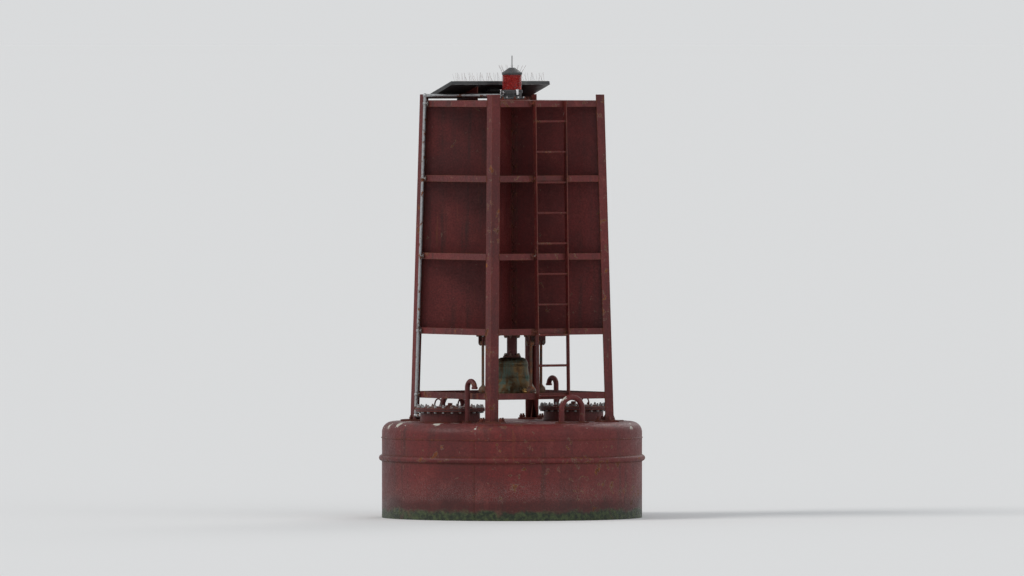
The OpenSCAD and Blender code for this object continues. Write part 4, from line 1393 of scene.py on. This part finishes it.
def panel_box(mesh):
    """The box of the panel's wires under it, with a cable gland at each end."""
    box_w, box_l, box_t = 0.085, 0.11, 0.026
    gland_r, gland_l = 0.008, 0.022
    under = on_panel() @ move(-0.05, 0, -(panel_size.z + box_t) / 2)
    block(mesh, (box_w, box_l, box_t), under, rim=0.004)
    for side in BOTH:
        gland = under @ move(y=side * (box_l / 2 - 0.002)) @ turn(-side * 90, "X")
        bar(mesh, gland_r, gland_l, gland, sides=6, rim=0.001)


def platform_fixings(mesh):
    """Bolts through the lantern's platform into the roof, and a weld round its edge."""
    circle_r = 0.150
    nut = shape(stud_nut, across=0.018, tall=0.012)
    stamp(mesh, nut, at(evenly(8, 22.5), circle_r, z=platform_z))
    weld_rings(mesh, high("lantern_platform").x, 0.004, [move(z=roof_z)])


piece(hull_welds, red_paint, "red_paint")
piece(tail_welds, antifouling, "antifouling")
piece(anode_lugs, antifouling, "antifouling")
piece(ballast_bolts, cast_iron, "cast_iron")
piece(barnacles, shell, "antifouling", sharp=50)
piece(weed_beard, weed, "antifouling", sharp=60)
piece(deck_welds, red_fitting, "red_paint")
piece(leg_feet, red_fitting, "red_paint")
piece(cover_bolts, galvanised, "galvanised_steel")
piece(cover_seals, rubber, "lantern_housing")
piece(cover_handles, red_fitting, "red_paint")
piece(vent_collars, red_fitting, "red_paint")
piece(vent_screens, bare_steel, "bare_steel")
piece(bar_welds, red_fitting, "red_paint")
piece(corner_stitches, red_plate, "red_paint")
piece(crossing_angles, red_plate, "red_paint", sharp=30)
piece(shelf_angles, red_plate, "red_paint", sharp=30)
piece(ladder_fittings, red_fitting, "red_paint")
piece(rung_grips, red_fitting, "red_paint")
piece(conduit_saddles, galvanised, "galvanised_steel")
piece(conduit_bolts, galvanised, "galvanised_steel")
piece(bell_bands, bronze, "bell_bronze")
piece(hanger_bolts, bare_steel, "bare_steel")
piece(bracket_fixings, galvanised, "galvanised_steel")
for body, place in tapper_places():
    piece(tapper_welds, bare_steel, "bare_steel", place, name=body + "_welds", body=body)
piece(lantern_fittings, lamp_metal, "lamp_metal")
piece(lens_seals, rubber, "lantern_housing")
piece(lens_ribs, red_lens, "red_lens")
piece(lamp_head, lamp_metal, "lamp_metal")
piece(bird_wires, galvanised, "galvanised_steel")
piece(panel_clamps, panel_metal, "panel_aluminium")
piece(panel_box, rubber, "lantern_housing")
piece(platform_fixings, red_fitting, "red_paint")

# Stage

FLOOR_COLOUR = (0.80, 0.80, 0.80, 1)
BACKDROP = (0.697, 0.706, 0.714, 1)
SKY_COLOUR, SKY_LIGHT = (0.93, 0.965, 1.0, 1), 0.48


def water_floor():
    """A plain pale floor at the waterline that lets the view from below through."""
    mesh = bmesh.new()
    bmesh.ops.create_circle(mesh, cap_ends=True, cap_tris=True, segments=64, radius=10000)
    floor = new_object("water_floor", mesh_data("water_floor", mesh))
    material = bpy.data.materials.new("pale floor")
    material.use_nodes = True
    tree = material.node_tree
    tree.nodes.remove(tree.nodes["Principled BSDF"])
    pale = add(tree, "ShaderNodeBsdfDiffuse", {"Color": FLOOR_COLOUR}).outputs[0]
    clear = add(tree, "ShaderNodeBsdfTransparent").outputs[0]
    back = add(tree, "ShaderNodeNewGeometry").outputs["Backfacing"]
    mixed = add(tree, "ShaderNodeMixShader", {0: back, 1: pale, 2: clear}).outputs[0]
    tree.links.new(mixed, tree.nodes["Material Output"].inputs["Surface"])
    floor.data.materials.append(material)


def pale_world():
    """Even sky light, with a plain pale backdrop for the eye and for gloss and glass."""
    world = bpy.data.worlds.new("pale world")
    bpy.context.scene.world = world
    world.use_nodes = True
    tree = world.node_tree
    light = tree.nodes["Background"]
    light.inputs["Color"].default_value = SKY_COLOUR
    light.inputs["Strength"].default_value = SKY_LIGHT
    backdrop = add(tree, "ShaderNodeBackground", {"Color": BACKDROP, "Strength": 1.0})
    path = add(tree, "ShaderNodeLightPath").outputs
    seen = plus(path["Is Camera Ray"], path["Is Glossy Ray"])
    seen = maths("ADD", seen, path["Is Transmission Ray"], use_clamp=True)
    mixed = add(tree, "ShaderNodeMixShader",
                {0: seen, 1: light.outputs[0], 2: backdrop.outputs[0]}).outputs[0]
    tree.links.new(mixed, tree.nodes["World Output"].inputs["Surface"])


def sun(name, strength, direction, elevation, softness, colour=(1, 1, 1)):
    """A soft distant lamp that shines from a direction round the buoy."""
    lamp = bpy.data.lights.new(name, "SUN")
    lamp.energy, lamp.angle, lamp.color = strength, math.radians(softness), colour
    made = new_object(name, lamp)
    made.matrix_world = turn(direction) @ turn(90 - elevation, "Y") @ move(z=20)


def camera():
    """Far off and low over the water, as the buoy was seen, with a long lens."""
    distance, azimuth, eye_height, aim_height = 150.0, math.radians(12), 4.5, 2.15
    view_height = 5.4
    lens = bpy.data.cameras.new("camera")
    lens.sensor_width = 36.0
    lens.lens = lens.sensor_width * 9 / 16 / view_height * distance
    lens.clip_start, lens.clip_end = 1.0, 30000.0
    made = new_object("camera", lens)
    made.location = (math.sin(azimuth) * distance, -math.cos(azimuth) * distance, eye_height)
    aim = Vector((0, 0, aim_height)) - made.location
    made.rotation_euler = aim.to_track_quat("-Z", "Y").to_euler()
    bpy.context.scene.camera = made


water_floor()
pale_world()
sun("key sun", 1.3, 215, 40, 25, (1.0, 0.98, 0.95))
sun("fill sun", 0.5, 330, 25, 60)
sun("rim sun", 0.5, 75, 35, 30)
camera()
bpy.context.scene.view_settings.view_transform = "Standard"
